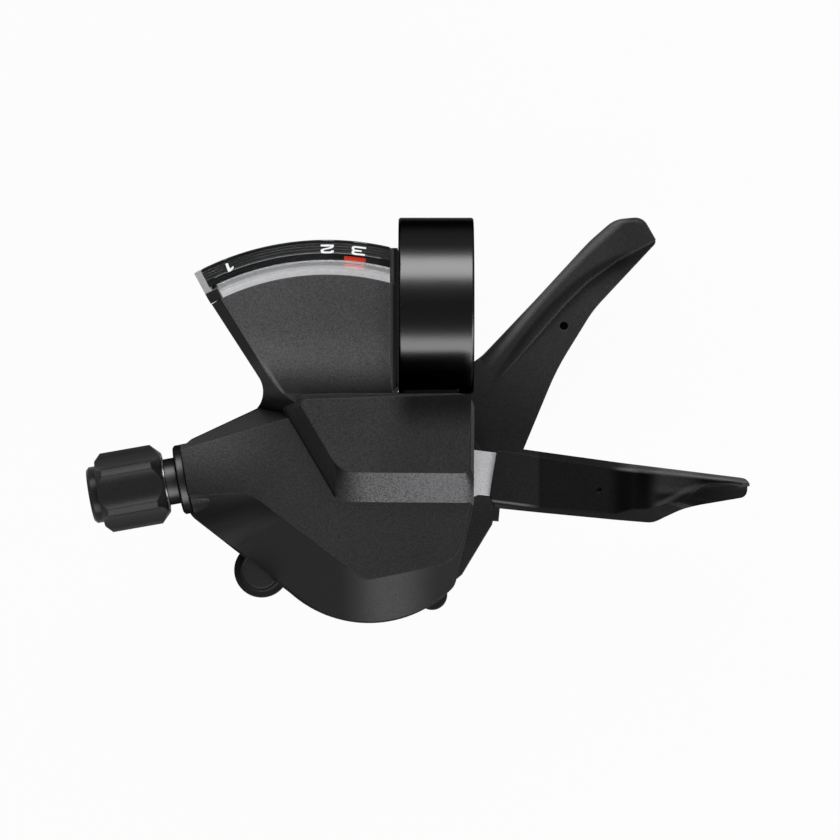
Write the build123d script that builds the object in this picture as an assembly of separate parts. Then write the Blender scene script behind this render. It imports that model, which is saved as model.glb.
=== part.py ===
from build123d import *
import os
from math import atan2, cos, degrees, hypot, radians, sin

# Trigger gear shifter for the left side of a bicycle handlebar, in millimetres.
# The origin is the centre of the clamp bore. The handlebar lies along X, +Y points back to the rider
# and +Z points up. Housing outlines give x and the depth in front of the housing's back wall.

# Clearances
RUN = 0.05
SLIDE = 0.3
GAP = 0.4

# Handlebar clamp
BAR_DIAMETER = 22.2
BAND_WALL = 2.8
BAND_WIDTH = 11.7
BAND_ROUND = 0.4
EAR_THICKNESS = 2.0
EAR_HEIGHT = 3.0
EAR_REACH = 8.2
EAR_WIDTH = 8.6
EAR_SHIFT = -0.8
EAR_ROUND = 1.6
BOLT_DIAMETER = 5.0
BOLT_HEAD_DIAMETER = 7.6
BOLT_HEAD_HEIGHT = 4.6
BOLT_SOCKET = 4.0
BOLT_SOCKET_DEPTH = 2.5
BOLT_INSET = 4.3
NUT_WIDTH = 7.8
NUT_HEIGHT = 3.8
NUT_CORNER = 0.56
NUT_CHAMFER = 0.14

# Housing heights and walls
PARTING_Z = -2.0
PLATE_Z = 12.2
BLOCK_RISE = 3.4
COVER_WALL = 1.6
COVER_TOP = 1.3
CORNER_RADIUS = 2.4
FLANK_ANGLE = 32.5
BEVEL_ANGLE = 53.2
BLOCK_SIDE_ANGLE = 38.5
BLOCK_REACH = 6.0
NECK_RADIUS = 3.8
NECK_HEIGHT = 8.0
NECK_REACH = 2.5
BASE_LIP = 0.4
BASE_FLOOR = 2.0
BASE_DEPTH = 8.0
BASE_WALL = 1.6
BASE_ROUND = 0.8
NOTCH_DEPTH = 1.4

# Display
ARC_X = -16.7
ARC_DEPTH = 19.3
LENS_OUTER_R = 42.6
LENS_TOP_WIDTH = 3.4
LENS_BEVEL = 1.8
LENS_RISE = 2.4
LENS_WALL = 1.4
LENS_LIP = 0.5
LENS_FOOT = 0.7
LENS_FOOT_WALL = 0.9
LENS_LEFT_ANGLE = 28.3
LENS_END = 1.2
LENS_EDGE = 0.15
LENS_FACET = 1.1
END_WALL = 1.2
END_DROP = 1.4
ROOF_LEFT_ANGLE = 25.7
ROOF_BEND = 12.0
ROOF_ROLL_Y = -7.5
ROOF_ROLL_DROP = 0.65
SCALE_THICKNESS = 0.9
LEDGE_WIDTH = 2.0
NEEDLE_SPACE = 1.8
NEEDLE_THICKNESS = 0.7
NEEDLE_WIDTH = 1.6
NEEDLE_HEAD = 3.2
NEEDLE_HEAD_DEPTH = 1.3
NEEDLE_HEAD_ANGLE = 83.9
NEEDLE_RISER_R = 15.5
NEEDLE_RISER_LAG = 21.0
NEEDLE_HUB_R = 2.3
NEEDLE_PIN_R = 1.1
PIVOT_HEAD = 0.8
NEEDLE_LOW_DROP = 1.5

# Axle and drum
AXLE_X = -6.2
AXLE_DEPTH = 17.0
AXLE_R = 4.0
AXLE_FLANGE_R = 6.2
AXLE_FLANGE = 0.8
AXLE_THREAD_R = 3.0
AXLE_END = 0.5
CLIP_BITE = 0.6
AXLE_NUT_WIDTH = 9.0
AXLE_NUT_HEIGHT = 3.0
WASHER_R = 7.0
WASHER_THICKNESS = 0.8
CLIP_R = 5.4
CLIP_THICKNESS = 0.6
CLIP_ANGLE = 130.0
BASE_PLATE = 1.6
BASE_PLATE_R = 14.6
DRUM_FLANGE_R = 8.4
DRUM_GROOVE_R = 7.0
DRUM_HEIGHT = 4.2
DRUM_GROOVE = 1.8
DRUM_TRAVEL = 69.0
DRUM_PIN_ORBIT = 7.2
DRUM_PIN_R = 0.8
TAIL_WALL = 1.0
CABLE_END_R = 1.6
CABLE_END_ANGLE = 100.0
RATCHET_R = 7.8
RATCHET_ROOT_R = 6.6
RATCHET_HEIGHT = 2.0
RATCHET_TEETH = 5
RATCHET_PITCH = 32.0
RATCHET_START = 120.0
TOOTH_TIP = 0.15
TOOTH_ROOT = 0.9
SLEEVE_R = 5.0
SLEEVE_HEIGHT = 2.2

# Pawls
PAWL_ORBIT = 11.0
PAWL_PIN_R = 1.2
PAWL_HUB_R = 2.5
PAWL_NOSE = 4.6
NOSE_HALF = 0.5
PIN_HEAD = 0.6
PIN_HEAD_RIM = 0.9
FEED_ANGLE = 200.0
HOLD_ANGLE = 235.0
PAWL_TURNS = 3
LEVER_STROKE = 35.0

# Main lever
HUB_R = 15.6
HUB_FLAT_R = 14.9
HUB_FLAT_ANGLE = -31.0
HUB_HEIGHT = 5.6
WEB_THICKNESS = 3.5
BAR_TO_WEB = 1.4
THUMB_DEPTH = 12.0
LEVER_PLATE = 1.2
LEVER_PLATE_R = 11.6
LEVER_PLATE_LOBE_R = 2.4
CUP_WALL = 1.2
CUP_WIDTH = 2.0
CUP_DEPTH = 2.6
STOP_R = 16.4
STOP_WIDTH = 3.6
STOP_ANGLE = -5.0
THUMB_RISE = 1.9
THUMB_ROUND = 0.9
RIVET_R = 1.1
RIVET_RIM = 0.8
RIVET_CAP = 0.5
RIVET_INSET = 2.4
RIVET_ANGLES = (40, 130, 290)
THUMB_HOLE_R = 0.66

# Release lever
RELEASE_PLATE = 1.6
RELEASE_SPACE = 2.0
RELEASE_RING_R = 6.8
RELEASE_WINDOW = (-1.2, 12.4)
RELEASE_BODY = 5.0
RELEASE_COVER = 1.6
FINGER_DEPTH = 8.6
RELEASE_BEVEL_ANGLE = 30.0
RELEASE_RAMP = 0.9
RELEASE_RIM = 0.7
DIMPLE_R = 0.45

# Barrel adjuster
ADJUSTER_X = -39.2
ADJUSTER_DEPTH = 13.3
ADJUSTER_Z = 4.5
ADJUSTER_TILT = 10.0
BOSS_R = 5.4
BOSS_LENGTH = 9.0
COLLAR_R = 5.4
COLLAR_LENGTH = 1.6
NECK_R = 3.6
NECK_LENGTH = 2.0
KNOB_R = 6.2
KNOB_LOBE_LENGTH = 8.8
KNOB_TAPER = 1.5
KNOB_RING_R = 4.4
KNOB_RING_LENGTH = 1.5
KNOB_LOBES = 6
KNOB_FLUTE_R = 6.0
KNOB_FLUTE_DEPTH = 1.15
KNOB_MOUTH_R = 4.0
KNOB_MOUTH = 2.4
KNOB_END = 1.0
KNOB_RING_EDGE = 0.4
DETENT_WASHER = 0.4
BARREL_R = 2.9
BARREL_SHOULDER = 0.9
CASING_R = 2.6
CASING_DEPTH = 6.0
INNER_WIRE_R = 0.9
INSERT_WALL = 1.1

# Fasteners and plug
SCREW_R = 1.2
SCREW_HEAD_R = 2.2
SCREW_HEAD = 1.1
SCREW_CROSS = 0.6
SCREW_GRIP = 5.2
SCREW_TIP_GAP = 0.4
SCREW_BOSS_R = 2.5
PLUG_R = 3.75
PLUG_X = -27.5
PLUG_DEPTH = 27.8
PLUG_LENGTH = 7.0
PLUG_HEAD = 1.4
PLUG_FLANGE = 0.6
PLUG_SEAT = 3.2
PLUG_STEP = 0.5
PLUG_WALL = 0.5
PLUG_ROUND = 0.5
PLUG_SLOT = 1.0
BUMP_X = -0.6
BUMP_DEPTH = 31.6
BUMP_R = 2.4
BUMP_HEIGHT = 5.6
WIRE_R = 0.3
RELEASE_WIRE_R = 0.35
LEVER_WIRE_R = 0.4

# Places worked out from the sizes above
BAR_R = BAR_DIAMETER / 2
BAND_R = BAR_R + BAND_WALL
BACK_Y = -(BAND_R - SLIDE)
RIGHT_X = BAND_WIDTH / 2 - 2 * RUN
BLOCK_Z = PLATE_Z + BLOCK_RISE
BASE_Z = PARTING_Z - BASE_DEPTH
FLOOR_Z = BASE_Z + BASE_FLOOR
SCALE_Z = BAR_R + SLIDE
LENS_TOP_R = LENS_OUTER_R - LENS_TOP_WIDTH
LENS_INNER_R = LENS_TOP_R - LENS_BEVEL
NUMBER_INNER_R = LENS_OUTER_R - LEDGE_WIDTH
NEEDLE_FLOOR_Z = SCALE_Z + SCALE_THICKNESS
ROOF_UNDER_Z = NEEDLE_FLOOR_Z + NEEDLE_SPACE
ROOF_Z = ROOF_UNDER_Z + COVER_TOP
LENS_Z = ROOF_Z + LENS_RISE
NUMBER_Z = LENS_Z - LENS_WALL - LENS_LIP
NEEDLE_Z = NEEDLE_FLOOR_Z + 2 * SLIDE
NEEDLE_LOW_Z = PLATE_Z - COVER_TOP - NEEDLE_LOW_DROP
BASE_PLATE_TOP = FLOOR_Z + BASE_PLATE
RELEASE_Z = BASE_PLATE_TOP + AXLE_FLANGE + RELEASE_SPACE
SLEEVE_Z = RELEASE_Z + RELEASE_PLATE + 2 * RUN
RATCHET_Z = SLEEVE_Z + SLEEVE_HEIGHT
DRUM_Z = RATCHET_Z + RATCHET_HEIGHT
DRUM_TOP = DRUM_Z + DRUM_HEIGHT
HUB_TOP = BASE_Z - GAP
HUB_BOTTOM = HUB_TOP - HUB_HEIGHT
CUP_INNER_R = AXLE_R + CUP_WALL
CUP_OUTER_R = CUP_INNER_R + CUP_WIDTH
WEB_TOP = -(BAR_R + BAR_TO_WEB)
WEB_BOTTOM = WEB_TOP - WEB_THICKNESS
PAWL_Z = RATCHET_Z
PIN_TOP = PAWL_Z + RATCHET_HEIGHT + PIN_HEAD + 2 * RUN
PIVOT_TOP = PLATE_Z - COVER_TOP / 2
INSERT_R = BARREL_R + INSERT_WALL
PLUG_STEM_R = PLUG_R - PLUG_STEP - PLUG_WALL


def at(x, depth):
    """Point given by x and its depth in front of the housing's back wall."""
    return (x, BACK_Y - depth)


def place(x, depth, z=0.0):
    """Location at x, depth and height."""
    return Pos(x, BACK_Y - depth, z)


AXLE = at(AXLE_X, AXLE_DEPTH)
ARC = at(ARC_X, ARC_DEPTH)
BOLT = (EAR_SHIFT, BACK_Y - BOLT_INSET)


def around(centre, radius, angle):
    """Point at a radius and an angle in degrees from a centre."""
    return (centre[0] + radius * cos(radians(angle)), centre[1] + radius * sin(radians(angle)))


def rod(radius, height, x=0.0, y=0.0, z=0.0):
    """Upright cylinder standing on height z."""
    return Pos(x, y, z) * Cylinder(radius, height, align=(Align.CENTER, Align.CENTER, Align.MIN))


def block(x0, x1, y0, y1, z0, z1):
    """Box between two corners."""
    return Pos((x0 + x1) / 2, (y0 + y1) / 2, (z0 + z1) / 2) * Box(x1 - x0, y1 - y0, z1 - z0)


def slab(face, z0, z1):
    """Flat outline pulled up from z0 to z1."""
    return extrude(Pos(0, 0, z0) * face, amount=z1 - z0)


def outline(points, radii):
    """Closed face through points with rounded corners."""
    return make_face(FilletPolyline(*points, radius=radii, close=True))


def coil(radius, wire, turns, pitch, x, y, z):
    """Round-wire coil about an upright axis."""
    path = Helix(pitch=pitch, height=pitch * turns, radius=radius)
    start = Plane(origin=path @ 0, z_dir=path % 0)
    return Pos(x, y, z + wire) * sweep(start * Circle(wire), path=path, is_frenet=True)


# Housing sections: straight sides, the rim with one arc about the axle.
RIM = [(RIGHT_X, 0), (-22.6, 0.17), (-39.4, 8.02), (-38.3, 18.7), (-22.5, 31.0), (2.6, 29.9), (RIGHT_X, 16.6)]
RIM_ARC = 4, (-9.2, 35.5)
PLATE = [(RIGHT_X - 0.4, 0.1), (-23.3, 3.95), (-41.0, 9.2), (-40.5, 15.9), (-28.6, 15.35), (-10.9, 28.8),
         (3.5, 25.8), (RIGHT_X - 0.5, 17.0)]
PLATE_RADII = [0.8, 1.0, 1.0, 1.0, 5.0, 3.0, 5.0, 2.0]
BLOCK = [(RIGHT_X - 0.4, 0.1), (-21.2, 1.0), (-14.7, 12.1), (RIGHT_X - 0.9, 12.25)]
BLOCK_RADII = [0.8, 0.8, 4.0, 0.8]


def rim_face():
    """Housing outline at the parting line, with straight sides, one arc and rounded corners."""
    arc_side, arc_middle = RIM_ARC
    points = [at(x, depth) for x, depth in RIM]
    sides = []
    for i, start in enumerate(points):
        end = points[(i + 1) % len(points)]
        if i == arc_side:
            sides.append(ThreePointArc(start, at(*arc_middle), end))
        else:
            sides.append(Line(start, end))
    face = make_face(sides)
    return fillet(face.vertices(), CORNER_RADIUS)


def inset_face(face, inset):
    """Face moved in by inset on every side."""
    if inset:
        return offset(face, amount=-inset, kind=Kind.INTERSECTION)
    return face


def tapered(face, top, foot, angle=FLANK_ANGLE):
    """Solid that widens at an angle from a face at height top down to height foot."""
    return extrude(Pos(0, 0, top) * face, amount=top - foot, dir=(0, 0, -1), taper=-angle)


def block_face(reach):
    """Top outline of the raised block, with its front edge moved forward by reach along the left side."""
    corners = list(BLOCK)
    (x0, d0), (x1, d1) = BLOCK[1], BLOCK[2]
    corners[2] = (x1 + reach * (x1 - x0) / (d1 - d0), d1 + reach)
    corners[3] = (BLOCK[3][0], BLOCK[3][1] + reach)
    return outline([at(x, depth) for x, depth in corners], BLOCK_RADII)


def raised_block(inset, drop):
    """Block with a flat bevel at its front and steeper sides, moved in by inset and down by drop."""
    top = BLOCK_Z - drop
    foot = PLATE_Z - GAP - 2 * drop
    front = tapered(inset_face(block_face(0), inset), top, foot, BEVEL_ANGLE)
    return front & tapered(inset_face(block_face(BLOCK_REACH), inset), top, foot, BLOCK_SIDE_ANGLE)


def boss_face(half_width):
    """Plan of the boss round the adjuster, on the adjuster's axis."""
    x, y = at(ADJUSTER_X, ADJUSTER_DEPTH)
    face = Pos(BOSS_LENGTH, 0) * Rectangle(2 * BOSS_LENGTH, 2 * half_width)
    return Pos(x, y) * Rot(0, 0, ADJUSTER_TILT) * face


def housing(plan, inset, drop):
    """Faceted housing over a plan with its raised block, moved in by inset and down by drop."""
    walls = slab(plan, PARTING_Z, BLOCK_Z - drop)
    plate = outline([at(x, depth) for x, depth in PLATE], PLATE_RADII)
    body = tapered(inset_face(plate, inset), PLATE_Z - drop, PARTING_Z)
    return walls & (body + raised_block(inset, drop))


# Roof over the handlebar: points of its left side at the top face and at the foot of its wall.
ROOF_RIGHT_X = -BAND_WIDTH / 2 - RUN
DISPLAY_RIGHT_X = ROOF_RIGHT_X - END_WALL
ROOF_TOP_LEFT = [(-24.2, -0.35), (-12.0, 4.65)]
ROOF_FOOT_LEFT = [(-24.0, 2.49), (-18.0, 5.0)]
NECK = (-24.84, 1.22)


def arc_point(radius, x):
    """Point of the display arc at a given x."""
    return (x, ARC[1] + (radius ** 2 - (x - ARC[0]) ** 2) ** 0.5)


def roof_face(left, radius, left_angle, right_x):
    """Roof section: an arc at the display, a straight right side and a bent left side."""
    left_end = around(ARC, radius, 90 + left_angle)
    right_end = arc_point(radius, right_x)
    middle = around(ARC, radius, 95)
    points = [left_end] + [at(x, depth) for x, depth in left]
    points.append((right_x, points[-1][1]))
    points.append(right_end)
    sides = [Line(a, b) for a, b in zip(points, points[1:])]
    sides.append(ThreePointArc(right_end, middle, left_end))
    return make_face(sides)


def roof_top(radius):
    """Top face of the roof, its left side bending round to the block."""
    face = roof_face(ROOF_TOP_LEFT, radius, ROOF_LEFT_ANGLE, DISPLAY_RIGHT_X)
    return fillet(face.vertices().sort_by_distance(at(*ROOF_TOP_LEFT[0]))[0], ROOF_BEND)


def roof_foot(radius):
    """Plan of the roof's walls."""
    return roof_face(ROOF_FOOT_LEFT, radius, LENS_LEFT_ANGLE, ROOF_RIGHT_X)


def roof(radius, inset, drop):
    """Roof slab with sloped sides, moved in by inset and down by drop."""
    walls = slab(inset_face(roof_foot(radius), inset), SCALE_Z, ROOF_Z - drop)
    return walls & tapered(inset_face(roof_top(radius), inset), ROOF_Z - drop, SCALE_Z)


def roof_roll():
    """Waste above the roof where it rolls down to the foot of the block."""
    run = ROOF_ROLL_Y - BACK_Y
    radius = (run ** 2 + ROOF_ROLL_DROP ** 2) / (2 * ROOF_ROLL_DROP)
    left = NECK[0] - BOSS_LENGTH
    waste = block(left, 0, BACK_Y - run, ROOF_ROLL_Y, ROOF_Z - COVER_TOP, LENS_Z)
    roller = Rot(0, 90, 0) * Cylinder(radius, 2 * LENS_OUTER_R)
    return waste - Pos(NECK[0], ROOF_ROLL_Y, ROOF_Z - radius) * roller


def neck():
    """Part of the cover that joins the roof's side to the housing's side with a rounded corner."""
    plan = roof_foot(LENS_INNER_R) + rim_face()
    plan = fillet(plan.vertices().sort_by_distance(at(*NECK))[0], NECK_RADIUS)
    low = ROOF_Z - NECK_HEIGHT
    sides = tapered(roof_top(LENS_INNER_R), ROOF_Z, low) + raised_block(0, 0)
    reach = block(NECK[0] - BOSS_LENGTH, 0, AXLE[1], BACK_Y + NECK_REACH, low, BLOCK_Z)
    return slab(plan, low, BLOCK_Z) & sides & reach


def adjuster_frame():
    """Frame of the barrel adjuster, with its z axis pointing out along the cable."""
    x, y = at(ADJUSTER_X, ADJUSTER_DEPTH)
    out = (-cos(radians(ADJUSTER_TILT)), -sin(radians(ADJUSTER_TILT)), 0)
    return Plane(origin=(x, y, ADJUSTER_Z), x_dir=(0, 0, 1), z_dir=out)


ADJ = adjuster_frame()


def along(radius, start, end):
    """Cylinder on the adjuster axis between two stations."""
    return ADJ * rod(radius, end - start, z=start)


SCREWS = [(-27.0, 5.7), (-17.8, 28.4), (-1.2, 28.0)]


def adjuster_boss():
    """Round boss about the adjuster, with straight sides below its axis."""
    low = slab(boss_face(BOSS_R), PARTING_Z, ADJUSTER_Z)
    return low + along(BOSS_R, -2 * BOSS_LENGTH, -COLLAR_LENGTH / 2)


def top_cover():
    """Moulded cover: faceted housing, raised block, roof and adjuster boss, hollow from below."""
    outer = roof(LENS_INNER_R, 0, 0) + neck() - roof_roll()
    outer += housing(rim_face() + boss_face(BOSS_R), 0, 0) + adjuster_boss()
    end_top = arc_point(LENS_OUTER_R, DISPLAY_RIGHT_X)[1]
    outer += block(DISPLAY_RIGHT_X, ROOF_RIGHT_X, BACK_Y, end_top, SCALE_Z, ROOF_Z - END_DROP)
    hollow = housing(inset_face(rim_face(), COVER_WALL), COVER_WALL, COVER_TOP)
    hollow += roof(LENS_INNER_R + 2 * COVER_WALL, COVER_WALL, COVER_TOP)
    shell = outer - hollow
    posts = Part()
    for x, depth in SCREWS:
        posts += place(x, depth, PARTING_Z) * rod(SCREW_BOSS_R, PLATE_Z - PARTING_Z)
    posts += place(ARC_X, ARC_DEPTH, NEEDLE_LOW_Z + NEEDLE_THICKNESS + 2 * RUN) * rod(NEEDLE_HUB_R, PLATE_Z)
    shell += posts & outer
    for x, depth in SCREWS:
        shell -= place(x, depth, PARTING_Z) * rod(SCREW_R, SCREW_GRIP + SCREW_TIP_GAP)
    shell -= place(ARC_X, ARC_DEPTH, 0) * rod(NEEDLE_PIN_R, PIVOT_TOP)
    shell -= along(INSERT_R, -2 * BOSS_LENGTH, BOSS_LENGTH)
    shell -= along(2 * BOSS_R, -COLLAR_LENGTH / 2, BOSS_LENGTH)
    notch = BAND_WIDTH / 2 + GAP
    notch_top = EAR_HEIGHT + EAR_THICKNESS + NUT_HEIGHT + GAP
    shell -= block(-notch, notch, BACK_Y - COVER_WALL - NOTCH_DEPTH, BACK_Y + BAND_R, PARTING_Z, notch_top)
    low, high = NEEDLE_Z - SLIDE, NEEDLE_Z + NEEDLE_THICKNESS + SLIDE
    for share in (0.8, 1.0):
        riser, head = needle_ends(share * NEEDLE_TRAVEL)
        shell -= bar_between(riser, head, NEEDLE_WIDTH + 2 * GAP, low, high)
    return shell


def base_face(grow):
    """Base bracket outline, grown from the cover's rim."""
    return offset(rim_face(), amount=grow)


def slot_face(radius, half_width, start, end):
    """Curved slot about the axle."""
    arc = CenterArc(AXLE, radius, start, end - start)
    return SlotArc(arc, 2 * half_width)


PAWL_SLOT = (FEED_ANGLE - LEVER_STROKE, FEED_ANGLE)
TOWER_WALL = 2.0
TOWER_LEFT = EAR_SHIFT - EAR_WIDTH / 2 - TOWER_WALL - GAP
TOWER_RIGHT = EAR_SHIFT + EAR_WIDTH / 2
EAR_GAP = 1.5


def base_bracket():
    """Tray that closes the housing from below and carries the axle and the clamp."""
    tray = slab(base_face(BASE_LIP), BASE_Z, PARTING_Z)
    tray = fillet(tray.faces().sort_by(Axis.Z)[0].edges(), BASE_ROUND)
    tray += place(PLUG_X, PLUG_DEPTH, BASE_Z) * rod(PLUG_R + PLUG_FLANGE, PLUG_SEAT)
    tray += place(PLUG_X, PLUG_DEPTH, BASE_Z) * rod(PLUG_R - PLUG_STEP, PLUG_LENGTH)
    tray += place(BUMP_X, BUMP_DEPTH, BASE_Z) * rod(BUMP_R, BUMP_HEIGHT)
    tray -= slab(base_face(-BASE_WALL), FLOOR_Z, PARTING_Z)
    notch = BAND_WIDTH / 2 + GAP
    front = BACK_Y - BASE_WALL - NOTCH_DEPTH
    tray -= block(-notch, notch, front, 0, -EAR_HEIGHT - EAR_THICKNESS - 1.0, PARTING_Z)
    tower_front = BACK_Y - EAR_REACH + SLIDE
    tower_back = BACK_Y - COVER_WALL - 3 * SLIDE
    tray += block(TOWER_LEFT, TOWER_LEFT + TOWER_WALL, tower_front, tower_back, FLOOR_Z, EAR_HEIGHT)
    tray += block(TOWER_LEFT, TOWER_RIGHT, tower_front, tower_back, -EAR_HEIGHT + EAR_GAP, EAR_HEIGHT)
    tray -= rod(BOLT_DIAMETER / 2 + SLIDE, 3 * EAR_HEIGHT, BOLT[0], BOLT[1], -EAR_HEIGHT)
    seat = -EAR_HEIGHT - EAR_THICKNESS
    tray -= rod(BOLT_HEAD_DIAMETER / 2 + GAP, seat - BASE_Z, BOLT[0], BOLT[1], BASE_Z)
    low, high = [AXLE[1] + reach for reach in RELEASE_WINDOW]
    tray -= block(RIGHT_X - 2 * BASE_WALL, RIGHT_X + BASE_WALL, low, high, RELEASE_Z - GAP, PARTING_Z)
    tray -= rod(AXLE_R, BASE_DEPTH, AXLE[0], AXLE[1], BASE_Z)
    tray -= slab(slot_face(PAWL_ORBIT, PAWL_PIN_R + GAP, *PAWL_SLOT), BASE_Z, FLOOR_Z)
    for x, depth in SCREWS:
        tray += place(x, depth, FLOOR_Z) * rod(SCREW_BOSS_R, PARTING_Z - FLOOR_Z)
        tray -= place(x, depth, BASE_Z) * rod(SCREW_R, BASE_DEPTH)
        tray -= place(x, depth, BASE_Z) * rod(SCREW_HEAD_R, SCREW_HEAD)
    return tray - place(PLUG_X, PLUG_DEPTH, BASE_Z) * rod(PLUG_STEM_R, BASE_DEPTH)


def base_plate():
    """Pressed steel plate on the base floor that carries the axle and the hold pawl."""
    face = Pos(AXLE[0], AXLE[1]) * Circle(BASE_PLATE_R)
    face &= base_face(-BASE_WALL - SLIDE)
    face -= Pos(AXLE[0], BACK_Y) * Rectangle(4 * BASE_PLATE_R, 2 * (EAR_REACH + 2 * SLIDE))
    face -= Pos(*BOLT) * Circle(BOLT_HEAD_DIAMETER / 2 + GAP)
    face -= slot_face(PAWL_ORBIT, PAWL_PIN_R + GAP, *PAWL_SLOT)
    face -= Pos(*AXLE) * Circle(AXLE_R)
    face -= Pos(*around(AXLE, PAWL_ORBIT, HOLD_ANGLE)) * Circle(PAWL_PIN_R)
    for x, depth in SCREWS:
        face -= Pos(*at(x, depth)) * Circle(SCREW_BOSS_R + SLIDE)
    return slab(face, FLOOR_Z, BASE_PLATE_TOP)


def main_axle():
    """Stepped pivot with a flange on the base plate and a threaded foot."""
    top = DRUM_TOP + CLIP_THICKNESS + AXLE_END
    shaft = rod(AXLE_R, top - HUB_BOTTOM, AXLE[0], AXLE[1], HUB_BOTTOM)
    shaft += rod(AXLE_FLANGE_R, AXLE_FLANGE, AXLE[0], AXLE[1], BASE_PLATE_TOP)
    foot = WASHER_THICKNESS + AXLE_NUT_HEIGHT + AXLE_END
    shaft += rod(AXLE_THREAD_R, foot, AXLE[0], AXLE[1], HUB_BOTTOM - foot)
    groove = rod(AXLE_R + 1, CLIP_THICKNESS, AXLE[0], AXLE[1], DRUM_TOP)
    groove -= rod(AXLE_R - CLIP_BITE, CLIP_THICKNESS, AXLE[0], AXLE[1], DRUM_TOP)
    shaft -= groove
    return shaft


def axle_clip():
    """Open retaining clip in the axle's top groove."""
    face = Circle(CLIP_R) - Circle(AXLE_R - CLIP_BITE) - Pos(CLIP_R / 2, 0) * Rectangle(CLIP_R, AXLE_R)
    return Pos(AXLE[0], AXLE[1], DRUM_TOP) * Rot(0, 0, CLIP_ANGLE) * extrude(face, amount=CLIP_THICKNESS)


def axle_washer():
    """Washer under the lever hub."""
    face = Circle(WASHER_R) - Circle(AXLE_THREAD_R)
    return Pos(AXLE[0], AXLE[1], HUB_BOTTOM - WASHER_THICKNESS) * extrude(face, amount=WASHER_THICKNESS)


def hex_nut(width, height, bore):
    """Hexagon nut standing on z 0, with its corners chamfered."""
    body = extrude(RegularPolygon(width / 2, 6, major_radius=False), amount=height)
    cone = rod(NUT_CORNER * width, height)
    cone = chamfer(cone.edges().filter_by(GeomType.CIRCLE), NUT_CHAMFER * height)
    return (body & cone) - rod(bore, height)


def axle_nut():
    """Nut on the axle's foot."""
    return Pos(AXLE[0], AXLE[1], HUB_BOTTOM - WASHER_THICKNESS - AXLE_NUT_HEIGHT) * hex_nut(
        AXLE_NUT_WIDTH, AXLE_NUT_HEIGHT, AXLE_THREAD_R)


def thrust_sleeve():
    """Sleeve on the axle between the release plate and the ratchet wheel."""
    face = Circle(SLEEVE_R) - Circle(AXLE_R)
    return Pos(AXLE[0], AXLE[1], SLEEVE_Z) * extrude(face, amount=SLEEVE_HEIGHT - 2 * RUN)


def clamp_band():
    """Open ring round the handlebar with two ears that reach into the housing."""
    ring = Plane.YZ * (Circle(BAND_R) - Circle(BAR_R))
    band = Pos(-BAND_WIDTH / 2, 0, 0) * extrude(ring, amount=BAND_WIDTH)
    band = fillet(band.edges().filter_by(GeomType.CIRCLE), BAND_ROUND)
    ear_left = EAR_SHIFT - EAR_WIDTH / 2
    ear_right = EAR_SHIFT + EAR_WIDTH / 2
    tip = BACK_Y - EAR_REACH
    bore = Plane.YZ * Circle(BAR_R + BAND_WALL / 2)
    keep_out = Pos(-BAND_WIDTH, 0, 0) * extrude(bore, amount=2 * BAND_WIDTH)
    for side in (-1, 1):
        low, high = sorted((side * EAR_HEIGHT, side * (EAR_HEIGHT + EAR_THICKNESS)))
        ear = block(ear_left, ear_right, tip, 0, low, high)
        ear = fillet(ear.edges().filter_by(Axis.Z).group_by(Axis.Y)[0], EAR_ROUND)
        band += ear - keep_out
    slit = EAR_HEIGHT
    band -= block(-BAND_WIDTH, BAND_WIDTH, tip - 1, -BAR_R / 2, -slit, slit)
    band -= rod(BOLT_DIAMETER / 2 + SLIDE, 6 * EAR_HEIGHT, BOLT[0], BOLT[1], -3 * EAR_HEIGHT)
    return band


def clamp_bolt():
    """Socket bolt with its head below the lower ear."""
    seat = -EAR_HEIGHT - EAR_THICKNESS
    bolt = rod(BOLT_DIAMETER / 2, EAR_HEIGHT + EAR_THICKNESS + NUT_HEIGHT - seat, 0, 0, seat)
    head = rod(BOLT_HEAD_DIAMETER / 2, BOLT_HEAD_HEIGHT, 0, 0, seat - BOLT_HEAD_HEIGHT)
    bolt += chamfer(head.faces().sort_by(Axis.Z)[0].edges(), BAND_ROUND)
    socket = RegularPolygon(BOLT_SOCKET / 2, 6, major_radius=False)
    bolt -= Pos(0, 0, seat - BOLT_HEAD_HEIGHT) * extrude(socket, amount=BOLT_SOCKET_DEPTH)
    return Pos(*BOLT) * bolt


def clamp_nut():
    """Nut on the upper ear."""
    nut = hex_nut(NUT_WIDTH, NUT_HEIGHT, BOLT_DIAMETER / 2)
    return Pos(BOLT[0], BOLT[1], EAR_HEIGHT + EAR_THICKNESS) * nut


def swept(profile, start, span):
    """Profile of radius and height turned about the display arc's centre."""
    face = make_face(Polyline(*[(r, 0, z) for r, z in profile], close=True))
    return Pos(*ARC) * Rot(0, 0, start) * revolve(face, Axis.Z, revolution_arc=span)


DISPLAY_START = 60.0
DISPLAY_SPAN = 90 + LENS_LEFT_ANGLE - DISPLAY_START


def trim_right(solid):
    """Cut the display pieces off at the cover's end wall."""
    reach = 2 * LENS_OUTER_R
    return solid - block(DISPLAY_RIGHT_X, reach, ARC[1], ARC[1] + reach, SCALE_Z - 1, LENS_Z + 1)


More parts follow.
